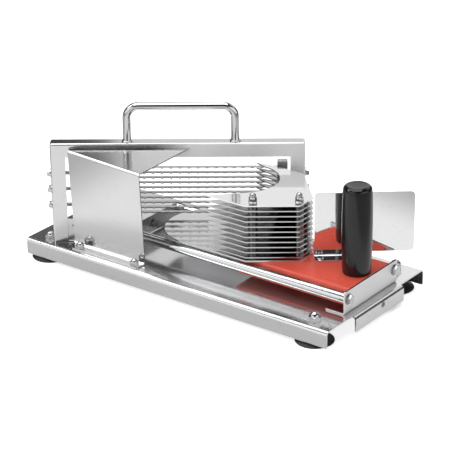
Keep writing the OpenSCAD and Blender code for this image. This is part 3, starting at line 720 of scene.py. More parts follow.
# painted shade on the blades' ground slopes, standing in for the shade on their front edges
BLADE_STEEL = SlopeShadedSteel("blade_steel_slope_shaded", (0.46, 0.465, 0.47), (0.40, 0.40, 0.405), 0.14, 0.22, 0.06,
                          turn=PLAN.frame_turn)
FASTENER_STEEL = Steel("fastener_steel_turned", (0.74, 0.74, 0.745), (0.60, 0.60, 0.605), 0.08, 0.15, 0.05,
                       stretch=(500.0, 500.0, 500.0), cloud=80.0)
STUD_STEEL = Steel("stud_steel", (0.56, 0.56, 0.565), (0.42, 0.42, 0.425), 0.06, 0.12, 0.05,
                   stretch=(500.0, 500.0, 500.0), cloud=80.0)
SPACER_STEEL = Steel("spacer_steel", (0.30, 0.30, 0.305), (0.22, 0.22, 0.225), 0.18, 0.26, 0.05,
                     stretch=(500.0, 500.0, 500.0), cloud=80.0)
HOLDER_STEEL = Steel("holder_steel_satin", (0.52, 0.52, 0.525), (0.44, 0.44, 0.445), 0.36, 0.46, 0.06)
RED_PLASTIC = Moulded("red_plastic_moulded", (0.91, 0.125, 0.080), (0.85, 0.113, 0.072), 0.26, 0.36, 0.10)
# painted light: the lower half of the block is painted a lighter red than the upper, standing in for light
# bounced up under it
RED_PAINTED_FILL = Moulded("red_plastic_painted_fill", (0.92, 0.150, 0.100), (0.86, 0.138, 0.090), 0.26, 0.36, 0.10)
BLACK_PLASTIC = Moulded("black_plastic_gloss", (0.006, 0.006, 0.007), (0.009, 0.009, 0.010), 0.08, 0.12, 0.02)
BLACK_RUBBER = Moulded("black_rubber_moulded", (0.014, 0.014, 0.015), (0.022, 0.022, 0.023), 0.45, 0.60, 0.25,
                       pit=900.0)

SLOT_FINISH: dict[str, Finish] = {
    "base_steel": BASE_STEEL, "frame_steel": FRAME_STEEL, "guard_steel": GUARD_STEEL,
    "bright_steel": BRIGHT_STEEL, "plate_steel": PLATE_STEEL, "blade_steel": BLADE_STEEL,
    "fastener_steel": FASTENER_STEEL, "red_plastic": RED_PLASTIC, "black_plastic": BLACK_PLASTIC,
    "black_rubber": BLACK_RUBBER}
NODE_FINISH: dict[str, Finish] = {"left_blade_holder": HOLDER_STEEL, "right_blade_holder": HOLDER_STEEL}


@dataclass(frozen=True)
class Fasteners:
    """Screws, nuts and washers, each modelled once and copied."""

    flats: float = 10.0
    thread: float = 3.0
    head: float = 4.0
    hex_high: float = 4.5
    dome_high: float = 8.0
    washer_radius: float = 6.25
    washer_high: float = 1.2
    rim: float = 0.2
    nut_cuts: Flat = (0.5, 0.6)
    bolt_cuts: Flat = (0.6, 0.15)
    dome_share: float = 0.46
    groove: float = 0.45

    def hexagon(self, name: str, height: float, low_cut: float, high_cut: float) -> Piece:
        """Makes a hexagon with turned chamfers.

        Args:
            name: name of the new object.
            height: its height.
            low_cut: chamfer at its lower face.
            high_cut: chamfer at its upper face.

        Returns:
            The new object, standing on its axis at the origin.
        """
        turn = math.radians(30.0)
        corner = self.flats / 2 / math.cos(turn)
        Bench.clear()
        bpy.ops.mesh.primitive_cylinder_add(vertices=6, radius=corner, depth=height,
                                            location=(0.0, 0.0, height / 2), rotation=(0.0, 0.0, turn))
        piece = Bench.added(name)
        wide = corner + 0.05
        flat = self.flats / 2 - self.rim
        rings = [(flat, 0.0), (wide, low_cut), (wide, height - high_cut), (flat, height)]
        Bench.combine(piece, Bench.turned("chamfer_tool", rings, 48), "INTERSECT")
        return piece

    def dome_nut(self, name: str) -> Piece:
        """Makes a dome nut standing on the origin."""
        piece = self.hexagon(name, self.hex_high, *self.nut_cuts)
        radius = self.flats * self.dome_share
        crown = self.dome_high - radius
        rings = [(radius, min(self.hex_high * 0.5, crown * 0.8))]
        if crown > self.hex_high + 0.9:
            rings += [(radius, self.hex_high + 0.1), (radius - 0.15, self.hex_high + 0.4),
                      (radius, self.hex_high + 0.8)]
        rings.append((radius, crown))
        steps = 10
        for step in range(1, steps + 1):
            angle = math.radians(90.0 * step / steps)
            rings.append((max(radius * math.cos(angle), 0.002), crown + radius * math.sin(angle)))
        Bench.combine(piece, Bench.turned("dome_tool", rings, 40), "UNION")
        return piece

    def bolt(self, name: str, length: float, threaded: bool = False) -> Piece:
        """Makes a hexagon bolt.

        Args:
            name: name of the new object.
            length: length of the shank above the origin.
            threaded: whether the shank shows its thread.

        Returns:
            The bolt, its head below the origin.
        """
        piece = self.hexagon(name, self.head, *self.bolt_cuts)
        Bench.move(piece, Matrix.Translation((0.0, 0.0, -self.head)))
        rings = [(self.thread, -0.5)]
        if threaded:
            for turn in range(int(length)):
                rings += [(self.thread, turn + 0.05), (self.thread - self.groove, turn + 0.5),
                          (self.thread, turn + 0.95)]
        rings.append((self.thread, length))
        Bench.combine(piece, Bench.turned("shank_tool", rings, 28), "UNION")
        return piece

    def washer(self, name: str, hole: float) -> Piece:
        """Makes a washer standing on the origin, with rounded rims."""
        rim, outer, high = self.rim, self.washer_radius, self.washer_high
        rings = [(hole, 0.0), (outer - rim, 0.0), (outer, rim), (outer, high - rim), (outer - rim, high),
                 (hole + rim, high), (hole, high - rim), (hole, 0.0)]
        return Bench.turned(name, rings, 40)

    @staticmethod
    def fit(piece: Piece, places: Iterable[Matrix], body: Body, finish: Finish, node: str) -> None:
        """Copies a fastener to its places and hands it over.

        Args:
            piece: the fastener, which is used up.
            places: one matrix per copy.
            body: body that they move with.
            finish: their look.
            node: node that they stand for.
        """
        Bench.hand_over(Bench.copies(piece, places), body, "fastener_steel", finish, [node])


@dataclass
class Stand:
    """The base tray, its feet, the rail brackets and the rails."""

    plan: Plan
    parts: Fasteners
    side: float = 19.5
    sheet: float = 1.5
    fold: float = 5.0
    tab_half: float = 48.5
    tab_drop: float = 18.5
    hole: Point = (215.0, 6.0, 17.0)
    hole_radius: float = 3.5
    foot_y: float = 81.0
    foot_xs: Flat = (-194.5, 184.5)
    foot_high: float = 22.0
    bracket_half: float = 52.5
    bracket_foot: float = 26.0
    bracket_sheet: float = 2.0
    bracket_high: Flat = (24.0, 27.5)
    bracket_fold: float = 3.5
    bracket_corner: float = 1.5
    bracket_edge: float = 0.25
    rail_radius: float = 6.0
    rail_end: float = 0.6
    rail_bolt: float = 20.0
    rail_washer_hole: float = 3.3
    stop_bolt: float = 9.0
    stop_drop: float = 5.0
    corner: float = 1.2
    edge: float = 0.22
    grip_end_parts: Fasteners = Fasteners(flats=13.0, hex_high=6.5, dome_high=11.0)

    def foot_spots(self) -> list[Flat]:
        """Returns the places of the four feet."""
        return [(x, y) for x in self.foot_xs for y in (-self.foot_y, self.foot_y)]

    def tray(self) -> None:
        """Folds the base tray from one sheet and bores the tab."""
        plan, top = self.plan, self.plan.base_top
        half, end = plan.half_width, plan.base_x1
        piece = Bench.plate("base_tray_sheet", (plan.base_x0, end), (-half, half),
                            Matrix.Translation((0.0, 0.0, top)))
        for y in (-self.tab_half, self.tab_half):
            Bench.slice(piece, (0.0, y, top), (0.0, 1.0, 0.0))
        for y in (-half, half):
            Bench.pick(piece, Pick.EDGE, lambda v, y=y: abs(v.y - y) < NEAR)
            Bench.draw_out((0.0, 0.0, -self.side))
        Bench.pick(piece, Pick.EDGE, lambda v: abs(v.x - end) < NEAR and abs(v.y) < self.tab_half + NEAR)
        Bench.draw_out((self.fold, 0.0, 0.0))
        Bench.draw_out((0.0, 0.0, -self.tab_drop))
        Bench.pick(piece, Pick.EDGE, lambda v: abs(v.z - top) < NEAR and v.x > end + self.fold - NEAR)
        Bench.round_off(self.fold - 0.02, 10)
        Bench.pick(piece, Pick.EDGE, lambda v: abs(v.z - top) < NEAR and abs(abs(v.y) - half) < NEAR)
        Bench.round_off(self.fold, 10)
        low = top - self.side
        Bench.pick(piece, Pick.VERT, lambda v: v.z < low + NEAR or v.z < top - self.tab_drop + NEAR)
        Bench.round_off(self.corner, 3, corners=True)
        Bench.face_out(piece, (0.0, 0.0, 1.0))
        Bench.thicken(piece, self.sheet)
        Bench.drill(piece, [(self.hole, "X", self.hole_radius, 8.0)])
        Bench.soften(piece, self.edge)
        Bench.hand_over(piece, Body.BASE, "base_steel", BASE_STEEL, ["base_tray"])

    def bracket(self, name: str, face: float, high: float, node: str) -> None:
        """Folds one rail bracket.

        Args:
            name: name of the piece.
            face: place of its upright face.
            high: its height.
            node: node that it stands for.
        """
        low = self.plan.base_top
        piece = Bench.plate(name, (-self.bracket_half, self.bracket_half), (low, low + high),
                            Matrix.Translation((face, 0.0, 0.0)) @ FACING_X)
        Bench.pick(piece, Pick.EDGE, lambda v: abs(v.z - low) < NEAR)
        Bench.draw_out((-self.bracket_foot, 0.0, 0.0))
        Bench.pick(piece, Pick.EDGE, lambda v: abs(v.z - low) < NEAR and abs(v.x - face) < NEAR)
        Bench.round_off(self.bracket_fold, 5)
        foot = face - self.bracket_foot
        Bench.pick(piece, Pick.VERT, lambda v: v.z > low + high - NEAR or v.x < foot + NEAR)
        Bench.round_off(self.bracket_corner, 3, corners=True)
        Bench.face_out(piece, (1.0, 0.0, 0.0))
        Bench.thicken(piece, self.bracket_sheet)
        Bench.soften(piece, self.bracket_edge)
        Bench.hand_over(piece, Body.BASE, "frame_steel", FRAME_STEEL, [node])

    def rails(self) -> None:
        """Makes the two round rails with broken ends."""
        start, end = self.plan.left_face, self.plan.right_face - self.bracket_sheet
        for name, y, node in (("rail_bar_front", -self.plan.rail_y, "front_rail"),
                              ("rail_bar_back", self.plan.rail_y, "back_rail")):
            Bench.clear()
            bpy.ops.mesh.primitive_cylinder_add(
                vertices=96, radius=self.rail_radius, depth=end - start,
                location=((start + end) / 2, y, self.plan.rail_z), rotation=(0.0, math.radians(90.0), 0.0))
            piece = Bench.added(name)
            for x in (start, end):
                Bench.pick(piece, Pick.EDGE, lambda v, x=x: abs(v.x - x) < NEAR)
                Bench.round_off(self.rail_end, 3)
            Bench.hand_over(piece, Body.BASE, "bright_steel", BRIGHT_STEEL, [node])

    def rail_ends(self) -> None:
        """Makes the bolts and washers in the ends of the rails."""
        plan, parts = self.plan, self.parts
        left, right = Matrix.Rotation(-math.pi / 2, 4, "Y"), Matrix.Rotation(math.pi / 2, 4, "Y")
        outside = plan.left_face - self.bracket_sheet
        places = []
        for y in (-plan.rail_y, plan.rail_y):
            places.append(Matrix.Translation((plan.right_face, y, plan.rail_z)) @ left)
            places.append(Matrix.Translation((outside, y, plan.rail_z)) @ right)
        high = parts.washer_high
        for piece, finish, node in (
                (parts.bolt("rail_end_bolts", self.rail_bolt + high), STUD_STEEL, "rail_bolts"),
                (parts.washer("rail_end_washers", self.rail_washer_hole), SPACER_STEEL, "rail_washers")):
            Bench.move(piece, Matrix.Translation((0.0, 0.0, -high)))
            parts.fit(piece, places, Body.BASE, finish, node)
        stop = parts.bolt("stop_bolt_turned", self.stop_bolt, threaded=True)
        Bench.move(stop, Matrix.Translation((plan.left_face, 0.0, plan.rail_z - self.stop_drop)) @ left)
        Bench.hand_over(stop, Body.BASE, "fastener_steel", FASTENER_STEEL, ["stop_bolt"])

    def feet(self) -> None:
        """Turns the suction feet and stands the dome nuts over them."""
        rings = [(1.0, 6.8), (9.0, 4.6), (15.0, 1.6), (19.0, 0.35), (20.0, 0.0), (21.6, 0.0), (22.0, 0.5),
                 (21.8, 1.3), (20.0, 2.0), (16.5, 2.8), (13.2, 3.7), (11.4, 5.4), (10.4, 8.0), (10.0, 11.0),
                 (10.0, 20.6), (9.6, 21.6), (8.8, self.foot_high), (3.4, self.foot_high)]
        places = [Matrix.Translation((x, y, 0.0)) for x, y in self.foot_spots()]
        piece = Bench.copies(Bench.turned("suction_feet", rings, 72), places)
        Bench.hand_over(piece, Body.BASE, "black_rubber", BLACK_RUBBER, ["feet"], angle=50.0)
        nuts = []
        for parts, x in zip((self.parts, self.grip_end_parts), self.foot_xs):
            places = [Matrix.Translation((x, y, self.plan.base_top)) for y in (-self.foot_y, self.foot_y)]
            nuts.append(Bench.copies(parts.dome_nut("foot_nut"), places))
        nuts = Bench.join(nuts, "foot_dome_nuts")
        Bench.hand_over(nuts, Body.BASE, "fastener_steel", STUD_STEEL, ["foot_nuts"])

    def build(self) -> None:
        """Builds the stand."""
        self.tray()
        self.bracket("bracket_right_sheet", self.plan.right_face, self.bracket_high[1], "right_rail_bracket")
        self.bracket("bracket_left_sheet", self.plan.left_face, self.bracket_high[0], "left_rail_bracket")
        self.rails()
        self.rail_ends()
        self.feet()


@dataclass
class Rack:
    """The blade frame with its blades, tension bolts, carry handle and front guard."""

    plan: Plan
    parts: Fasteners
    depth: float = 14.5
    sheet: float = 1.5
    fold: float = 2.5
    post: float = 17.5
    window_top: float = 130.925
    holder_mid: float = 7.75
    tension_zs: Point = (69.2, 89.2, 109.2)
    blade_count: int = 10
    blade_low: float = 58.775
    blade_pitch: float = 6.25
    blade_high: float = 0.6
    blade_ends: Flat = (30.5, 269.0)
    blade_width: float = 8.5
    scallop: float = 10.4
    scallop_deep: float = 2.3
    ground: float = 1.2
    lip: float = 0.1
    spine: Flat = (1.0, 0.25)
    free: float = 225.5
    tension_parts: Fasteners = Fasteners(flats=8.0, thread=2.5, head=3.5, washer_radius=5.0)
    handle_radius: float = 4.8
    handle_mid: float = 152.0
    handle_half: float = 62.25
    handle_rise: float = 47.9
    handle_bend: float = 14.0
    guard_ends: Flat = (-159.57, -54.57)
    guard_y: float = -77.0
    guard_top: float = 137.7
    guard_lean: float = 6.0
    guard_rise: float = 5.0
    guard_foot: float = 14.0
    guard_reach: float = 162.0
    guard_bolts: tuple[Flat, Flat] = ((-143.8, -85.68), (-62.55, -85.68))
    guard_roof: float = 4.2
    guard_gap: float = 0.3
    guard_fold: float = 3.0
    guard_cut: float = 8.0
    nut_turn: float = 0.2
    bolt_lengths: Flat = (29.0, 24.5)
    bolt_hole: float = 2.8
    collar: float = 1.5
    edge: float = 0.22

    def portal(self) -> None:
        """Folds the blade frame: a front sheet with its window, two side folds and a top fold."""
        low, top, long = self.plan.base_top, self.plan.frame_top, self.plan.frame_length
        piece = Bench.plate("blade_frame_sheet", (0.0, long), (low, top), UPRIGHT)
        for x in (self.post, long - self.post):
            Bench.slice(piece, (x, 0.0, 0.0), (1.0, 0.0, 0.0))
        Bench.slice(piece, (0.0, 0.0, self.window_top), (0.0, 0.0, 1.0))
        Bench.pick(piece, Pick.FACE, lambda v: self.post - NEAR < v.x < long - self.post + NEAR
                   and v.z < self.window_top + NEAR)
        bpy.ops.mesh.delete(type="FACE")
        for test in (lambda v: v.x < NEAR, lambda v: v.x > long - NEAR, lambda v: v.z > top - NEAR):
            Bench.pick(piece, Pick.EDGE, lambda v, test=test: test(v) and abs(v.y) < NEAR)
            Bench.draw_out((0.0, self.depth, 0.0))
        Bench.weld(piece)
        Bench.pick(piece, Pick.EDGE, lambda v: abs(v.y) < NEAR and (v.x < NEAR or v.x > long - NEAR))
        mesh = bmesh.from_edit_mesh(piece.data)
        for edge in mesh.edges:
            a, b = (vert.co for vert in edge.verts)
            in_front = max(abs(a.y), abs(b.y)) < NEAR
            at_end = abs(a.x - b.x) < NEAR and (a.x < NEAR or a.x > long - NEAR)
            if min(a.z, b.z) > top - NEAR and (in_front or at_end and abs(a.y - b.y) > NEAR):
                edge.select_set(True)
        bmesh.update_edit_mesh(piece.data)
        Bench.round_off(self.fold, 5)
        Bench.face_out(piece, (0.0, -1.0, 0.0))
        Bench.thicken(piece, self.sheet)
        Bench.soften(piece, self.edge)
        Bench.move(piece, self.plan.frame_place())
        Bench.hand_over(piece, Body.BASE, "frame_steel", FRAME_STEEL, ["blade_frame"])

    def blades(self) -> None:
        """Draws one wavy edge, widens it to a blade, grinds its front and copies it up the rack."""
        start, end = self.blade_ends
        count = int(self.free / self.scallop) - 1
        hollow = self.scallop ** 2 / (8 * self.scallop_deep) + self.scallop_deep / 2
        half_turn = math.degrees(math.asin(self.scallop / 2 / hollow))
        first = (start + end) / 2 - count * self.scallop / 2
        front = self.holder_mid - self.blade_width / 2
        back = self.holder_mid + self.blade_width / 2
        piece = Bench.dot("blade_strips", (start, front))
        Bench.draw_out((first - start, 0.0, 0.0))
        for step in range(count):
            middle = first + (step + 0.5) * self.scallop
            Bench.swing(-2 * half_turn, (middle, front + self.scallop_deep - hollow, 0.0), (0.0, 0.0, 1.0), 8)
        Bench.draw_out((end - first - count * self.scallop, 0.0, 0.0))
        Bench.pick_all(piece)
        Bench.draw_out((0.0, 0.0, self.lip))
        Bench.draw_out((0.0, self.ground, self.blade_high - self.lip))
        Bench.draw_out((0.0, 1.0, 0.0))
        bpy.ops.transform.resize(value=(1.0, 0.0, 1.0),
                                 center_override=(0.0, back - self.spine[0], self.blade_high))
        Bench.draw_out((0.0, self.spine[0], -self.spine[1]))
        Bench.draw_out((0.0, 0.0, self.spine[1] - self.blade_high))
        Bench.pick(piece, Pick.EDGE, lambda v: v.z < NEAR)
        bpy.ops.mesh.bridge_edge_loops()
        Bench.close(piece)
        heights = [self.blade_low + n * self.blade_pitch for n in range(self.blade_count)]
        places = [self.plan.frame_place() @ Matrix.Translation((0.0, 0.0, z)) for z in heights]
        piece = Bench.copies(piece, places)
        Bench.hand_over(piece, Body.BASE, "blade_steel", BLADE_STEEL, ["blades"], angle=8.0)

    def tension(self) -> None:
        """Makes the tension bolts and their washers on both sides of the frame."""
        parts = self.tension_parts
        high, place = parts.washer_high, self.plan.frame_place()
        bolts, rings = [], []
        ends, turns = (0.0, self.plan.frame_length), (math.pi / 2, -math.pi / 2)
        for end, turn, length in zip(ends, turns, self.bolt_lengths):
            into = Matrix.Rotation(turn, 4, "Y") @ Matrix.Translation((0.0, 0.0, -high))
            spots = [place @ Matrix.Translation((end, self.holder_mid, z)) @ into for z in self.tension_zs]
            bolts.append(Bench.copies(parts.bolt("tension_bolt", length + high, threaded=True), spots))
            rings.append(Bench.copies(parts.washer("tension_washer", self.bolt_hole), spots))
        bolts = Bench.join(bolts, "tension_bolt_set")
        Bench.hand_over(bolts, Body.BASE, "fastener_steel", STUD_STEEL, ["tension_bolts"])
        rings = Bench.join(rings, "tension_washer_set")
        Bench.hand_over(rings, Body.BASE, "fastener_steel", FASTENER_STEEL, ["tension_washers"])

    def handle(self) -> None:
        """Bends the carry handle from one round bar and adds its collars."""
        legs = self.handle_rise - self.handle_radius - self.handle_bend
        middle = (self.handle_mid, self.depth / 2, self.plan.frame_top)
        place = self.plan.frame_place() @ Matrix.Translation(middle)
        Bench.clear()
        bpy.ops.mesh.primitive_circle_add(vertices=40, radius=self.handle_radius, fill_type="NGON",
                                          location=(-self.handle_half, 0.0, 0.0))
        piece = Bench.added("carry_handle_bar")
        Bench.pick_all(piece)
        Bench.draw_out((0.0, 0.0, legs))
        Bench.swing(90.0, (-self.handle_half + self.handle_bend, 0.0, legs), (0.0, 1.0, 0.0), 14)
        Bench.draw_out((2 * (self.handle_half - self.handle_bend), 0.0, 0.0))
        Bench.swing(90.0, (self.handle_half - self.handle_bend, 0.0, legs), (0.0, 1.0, 0.0), 14)
        Bench.draw_out((0.0, 0.0, -legs))
        Bench.close(piece)
        Bench.move(piece, place)
        Bench.hand_over(piece, Body.BASE, "bright_steel", HANDLE_STEEL, ["carry_handle"])
        inner, outer = self.handle_radius + 0.05, self.handle_radius + self.collar
        rings = [(inner, 0.0), (outer, 0.0), (outer, 1.0), (outer - 0.4, 1.7), (outer - 0.9, 2.0),
                 (inner, 2.0), (inner, 0.0)]
        spots = [place @ Matrix.Translation((x, 0.0, 0.0)) for x in (-self.handle_half, self.handle_half)]
        collars = Bench.copies(Bench.turned("handle_collar_rings", rings, 48), spots)
        Bench.hand_over(collars, Body.BASE, "bright_steel", BRIGHT_STEEL, ["handle_collars"])

    def guard(self) -> None:
        """Folds the front guard: foot, upright panel and triangular roof."""
        low, top, y = self.plan.base_top + self.sheet, self.guard_top, self.guard_y
        left, right = self.guard_ends
        roof = y + self.guard_roof
        piece = Bench.plate("front_guard_sheet", (left, right), (low, top),
                            Matrix.Translation((0.0, y, 0.0)) @ UPRIGHT)
        Bench.pick(piece, Pick.EDGE, lambda v: v.z < low + NEAR)
        Bench.draw_out((0.0, -self.guard_foot, 0.0))
        Bench.pick(piece, Pick.EDGE, lambda v: v.z > top - NEAR)
        bpy.ops.transform.translate(value=(0.0, -self.guard_lean, 0.0))
        Bench.draw_out((0.0, self.guard_lean + self.guard_roof, 0.0))
        tip = self.plan.on_frame(self.guard_reach, -self.guard_gap)
        along = (roof - self.plan.frame_y) / math.sin(self.plan.frame_turn)
        near = self.plan.on_frame(along, -self.guard_gap)
        for here, there in (((left, roof), near), ((right, roof), tip)):
            Bench.pick(piece, Pick.VERT, lambda v, here=here: v.z > top - NEAR and abs(v.x - here[0]) < NEAR
                       and abs(v.y - here[1]) < NEAR)
            bpy.ops.transform.translate(value=(there[0] - here[0], there[1] - here[1], 0.0))
        place = self.plan.frame_place().inverted()
        deep = -(place @ Vector((right, y - self.guard_lean, 0.0))).y
        Bench.pick(piece, Pick.VERT, lambda v: v.z > top - NEAR)
        mesh = bmesh.from_edit_mesh(piece.data)
        for vert in mesh.verts:
            if vert.select:
                vert.co.z += self.guard_rise * (1.0 + (place @ vert.co).y / deep)
        bmesh.update_edit_mesh(piece.data)
        Bench.pick(piece, Pick.EDGE, lambda v: abs(v.y - y) < NEAR and v.z < low + NEAR
                   or abs(v.y - y + self.guard_lean) < NEAR and v.z > top - NEAR)
        Bench.round_off(self.guard_fold, 6)
        Bench.pick(piece, Pick.VERT, lambda v: v.y < y - self.guard_foot + NEAR and v.x < left + NEAR)
        Bench.round_off(self.guard_cut, 1, corners=True)
        Bench.pick(piece, Pick.VERT, lambda v: v.y < y - self.guard_foot + NEAR and v.x > right - NEAR)
        Bench.round_off(self.guard_fold, 4, corners=True)
        Bench.face_out(piece, (0.0, -1.0, 0.0))
        Bench.thicken(piece, self.sheet)
        Bench.soften(piece, self.edge)
        Bench.hand_over(piece, Body.BASE, "guard_steel", GUARD_STEEL, ["front_guard"])
        turn = Matrix.Rotation(self.nut_turn, 4, "Z")
        places = [Matrix.Translation((*spot, low)) @ turn for spot in self.guard_bolts]
        self.parts.fit(self.parts.dome_nut("guard_dome_nuts"), places, Body.BASE, STUD_STEEL, "guard_nuts")

    def build(self) -> None:
        """Builds the rack."""
        self.portal()
        self.blades()
        self.tension()
        self.handle()
        self.guard()


@dataclass
class Trolley:
    """The sliding part: block, carrier, pusher plates, hand guard and grip."""

    plan: Plan
    groove: float = 6.3
    upper_half: float = 41.0
    chamfer: float = 2.2
    front_y: float = -51.0
    back_y: float = 62.51
    rear_x: float = 118.8
    corner_x: float = 70.0
    tail_ys: Flat = (-15.79, 11.21)
    finger: Flat = (5.5, 58.91)
    finger_end: float = 27.59
    notch: Point = (20.5, 12.01, 42.5)
    nose_x: float = -20.5
    carrier_high: float = 2.0
    plate_low: float = 55.2
    plate_high: float = 1.5
    plate_pitch: float = 6.25
    plate_count: int = 11
    studs: tuple[Flat, Flat] = ((69.58, -35.89), (111.49, -5.66))
    stud_hole: float = 2.8
    hand: Flat = (123.3, 6.71)
    hand_wide: float = 112.0
    hand_high: float = 77.0
    hand_foot: float = 14.5
    hand_foot_long: float = 46.0
    hand_lift: float = 5.0
    hand_sheet: float = 1.5
    hand_turn: float = 2.7
    grip_x: float = 184.5
    grip_high: float = 104.0
    grip_radius: float = 17.2
    grip_end: float = 16.1
    grip_cap: float = 5.0
    block_edge: float = 0.35
    carrier_edge: float = 0.3
    plate_edge: float = 0.18
    hand_edge: float = 0.22
    hand_fold: float = 3.0
    hand_corner: float = 5.0
    foot_corner: float = 2.5
    finger_back: float = 1.87
    spacer_radius: float = 5.25
    spacer_rim: float = 0.15
    nut_turn: float = 0.5
    screw_spot: Flat = (6.0, 0.55)
    stud_parts: Fasteners = Fasteners(flats=8.0, thread=2.5, dome_high=9.5, washer_radius=5.0)

    def block(self) -> None:
        """Draws both halves of the red block in section and draws them out along the rails."""
        plan, y, r = self.plan, self.plan.rail_y, self.groove
        half, top, low, mid = self.upper_half, plan.slide_top, plan.slide_bottom, plan.rail_z
        reach = y - half
        turn = math.degrees(math.acos(reach / r))
        inner = y - r
        edge = mid + math.sqrt(r * r - reach * reach)
        upper = Bench.outline("block_upper_half", (-half, top), [
            (half, top), (half, edge), (y, mid, turn, 8), (-inner, mid), (-y, mid, turn, 8), (-half, top)])
        lower = Bench.outline("block_lower_half", (-y, low), [
            (y, low), (y, mid - r), (y, mid, -90.0, 16), (-inner, mid), (-y, mid, -90.0, 16), (-y, low)])
        place = Matrix.Translation((plan.slide_x0, 0.0, 0.0)) @ FACING_X
        for piece in (upper, lower):
            Bench.raise_up(piece, plan.slide_x1 - plan.slide_x0)
            Bench.move(piece, place)
        Bench.pick(upper, Pick.EDGE, lambda v: v.z > top - NEAR and abs(v.y) > half - NEAR)
        mesh = bmesh.from_edit_mesh(upper.data)
        for rim in mesh.edges:
            if all(v.co.z > top - NEAR and v.co.x > plan.slide_x1 - NEAR for v in rim.verts):
                rim.select_set(True)
        bmesh.update_edit_mesh(upper.data)
        Bench.round_off(self.chamfer, 3)
        Bench.clear()
        # the lower half takes the lighter red: painted light under the block
        for piece, node, finish in ((upper, "upper_slide", RED_PLASTIC), (lower, "lower_slide", RED_PAINTED_FILL)):
            Bench.soften(piece, self.block_edge)
            Bench.hand_over(piece, Body.TROLLEY, "red_plastic", finish, [node])

    def rear(self) -> list[Flat]:
        """Returns the corners that the carrier and the pusher plates share, from the front round the back."""
        return [(self.corner_x, self.front_y), (self.rear_x, self.tail_ys[0]), (self.rear_x, self.tail_ys[1]),
                (self.corner_x, self.back_y), (self.finger_end, self.back_y), self.finger]

    def carrier(self) -> None:
        """Draws the carrier plate with its round nose."""
        front, nose = self.front_y, self.nose_x
        piece = Bench.outline("carrier_sheet", (nose, front), [
            *self.rear(), (self.finger[0] - self.finger_back, -front), (nose, -front),
            (nose, 0.0, 180.0, 64)])
        Bench.raise_up(piece, self.carrier_high)
        Bench.move(piece, Matrix.Translation((0.0, 0.0, self.plan.slide_top)))
        Bench.soften(piece, self.carrier_edge)
        Bench.hand_over(piece, Body.TROLLEY, "plate_steel", CARRIER_STEEL, ["carrier_plate"])

    def plates(self) -> None:
        """Draws one pusher plate, bores it for the studs and stacks its copies."""
        x, y, r = self.notch
        s = r * math.sqrt(0.5)
        run = y - s - self.front_y
        piece = Bench.outline("pusher_plate_stack", (x + s - run, self.front_y), [
            *self.rear(), (x, y + r), (x, y, -135.0, 48)])
        Bench.raise_up(piece, self.plate_high)
        Bench.drill(piece, [((*spot, self.plate_high / 2), "Z", self.stud_hole, 6.0) for spot in self.studs])
        Bench.soften(piece, self.plate_edge)
        heights = [self.plate_low + n * self.plate_pitch for n in range(self.plate_count)]
        places = [Matrix.Translation((0.0, 0.0, z)) for z in heights]
        # the top plate takes its own lighter material: painted light on the top of the stack
        Bench.hold(piece)
        bpy.ops.object.duplicate()
        top = Bench.move(bpy.context.object, places.pop())
        top.name = "pusher_plate_top"
        Bench.hand_over(top, Body.TROLLEY, "plate_steel", TOP_PLATE_PAINTED_LIGHT, ["pusher_plates"])
        piece = Bench.copies(piece, places)
        Bench.hand_over(piece, Body.TROLLEY, "plate_steel", PLATE_STEEL, ["pusher_plates"])

    def columns(self) -> None:
        """Turns the spacers between the plates, and the washers and dome nuts on top."""
        hole, wide, rim = self.stud_hole, self.spacer_radius, self.spacer_rim
        lows = [self.plate_low + n * self.plate_pitch for n in range(self.plate_count)]
        tops = [self.plan.slide_top + self.carrier_high] + [low + self.plate_high for low in lows]
        spots = [Matrix.Translation((*spot, 0.0)) for spot in self.studs]
        made = []
        for low, high in zip(tops, lows):
            rings = [(hole, low), (wide - rim, low), (wide, low + rim), (wide, high - rim),
                     (wide - rim, high), (hole, high), (hole, low)]
            made.append(Bench.copies(Bench.turned("spacer", rings, 32), spots))
        piece = Bench.join(made, "pusher_spacer_rings")
        Bench.hand_over(piece, Body.TROLLEY, "fastener_steel", SPACER_STEEL, ["pusher_spacers"])
        parts = self.stud_parts
        on_top = Matrix.Translation((0.0, 0.0, tops[-1]))
        places = [spot @ on_top for spot in spots]
        rings = parts.washer("pusher_washer_rings", hole)
        parts.fit(rings, places, Body.TROLLEY, FASTENER_STEEL, "pusher_washers")
        on_top = Matrix.Translation((0.0, 0.0, tops[-1] + parts.washer_high))
        places = [spot @ on_top @ Matrix.Rotation(self.nut_turn + n, 4, "Z") for n, spot in enumerate(spots)]
        parts.fit(parts.dome_nut("pusher_dome_nuts"), places, Body.TROLLEY, STUD_STEEL, "pusher_nuts")

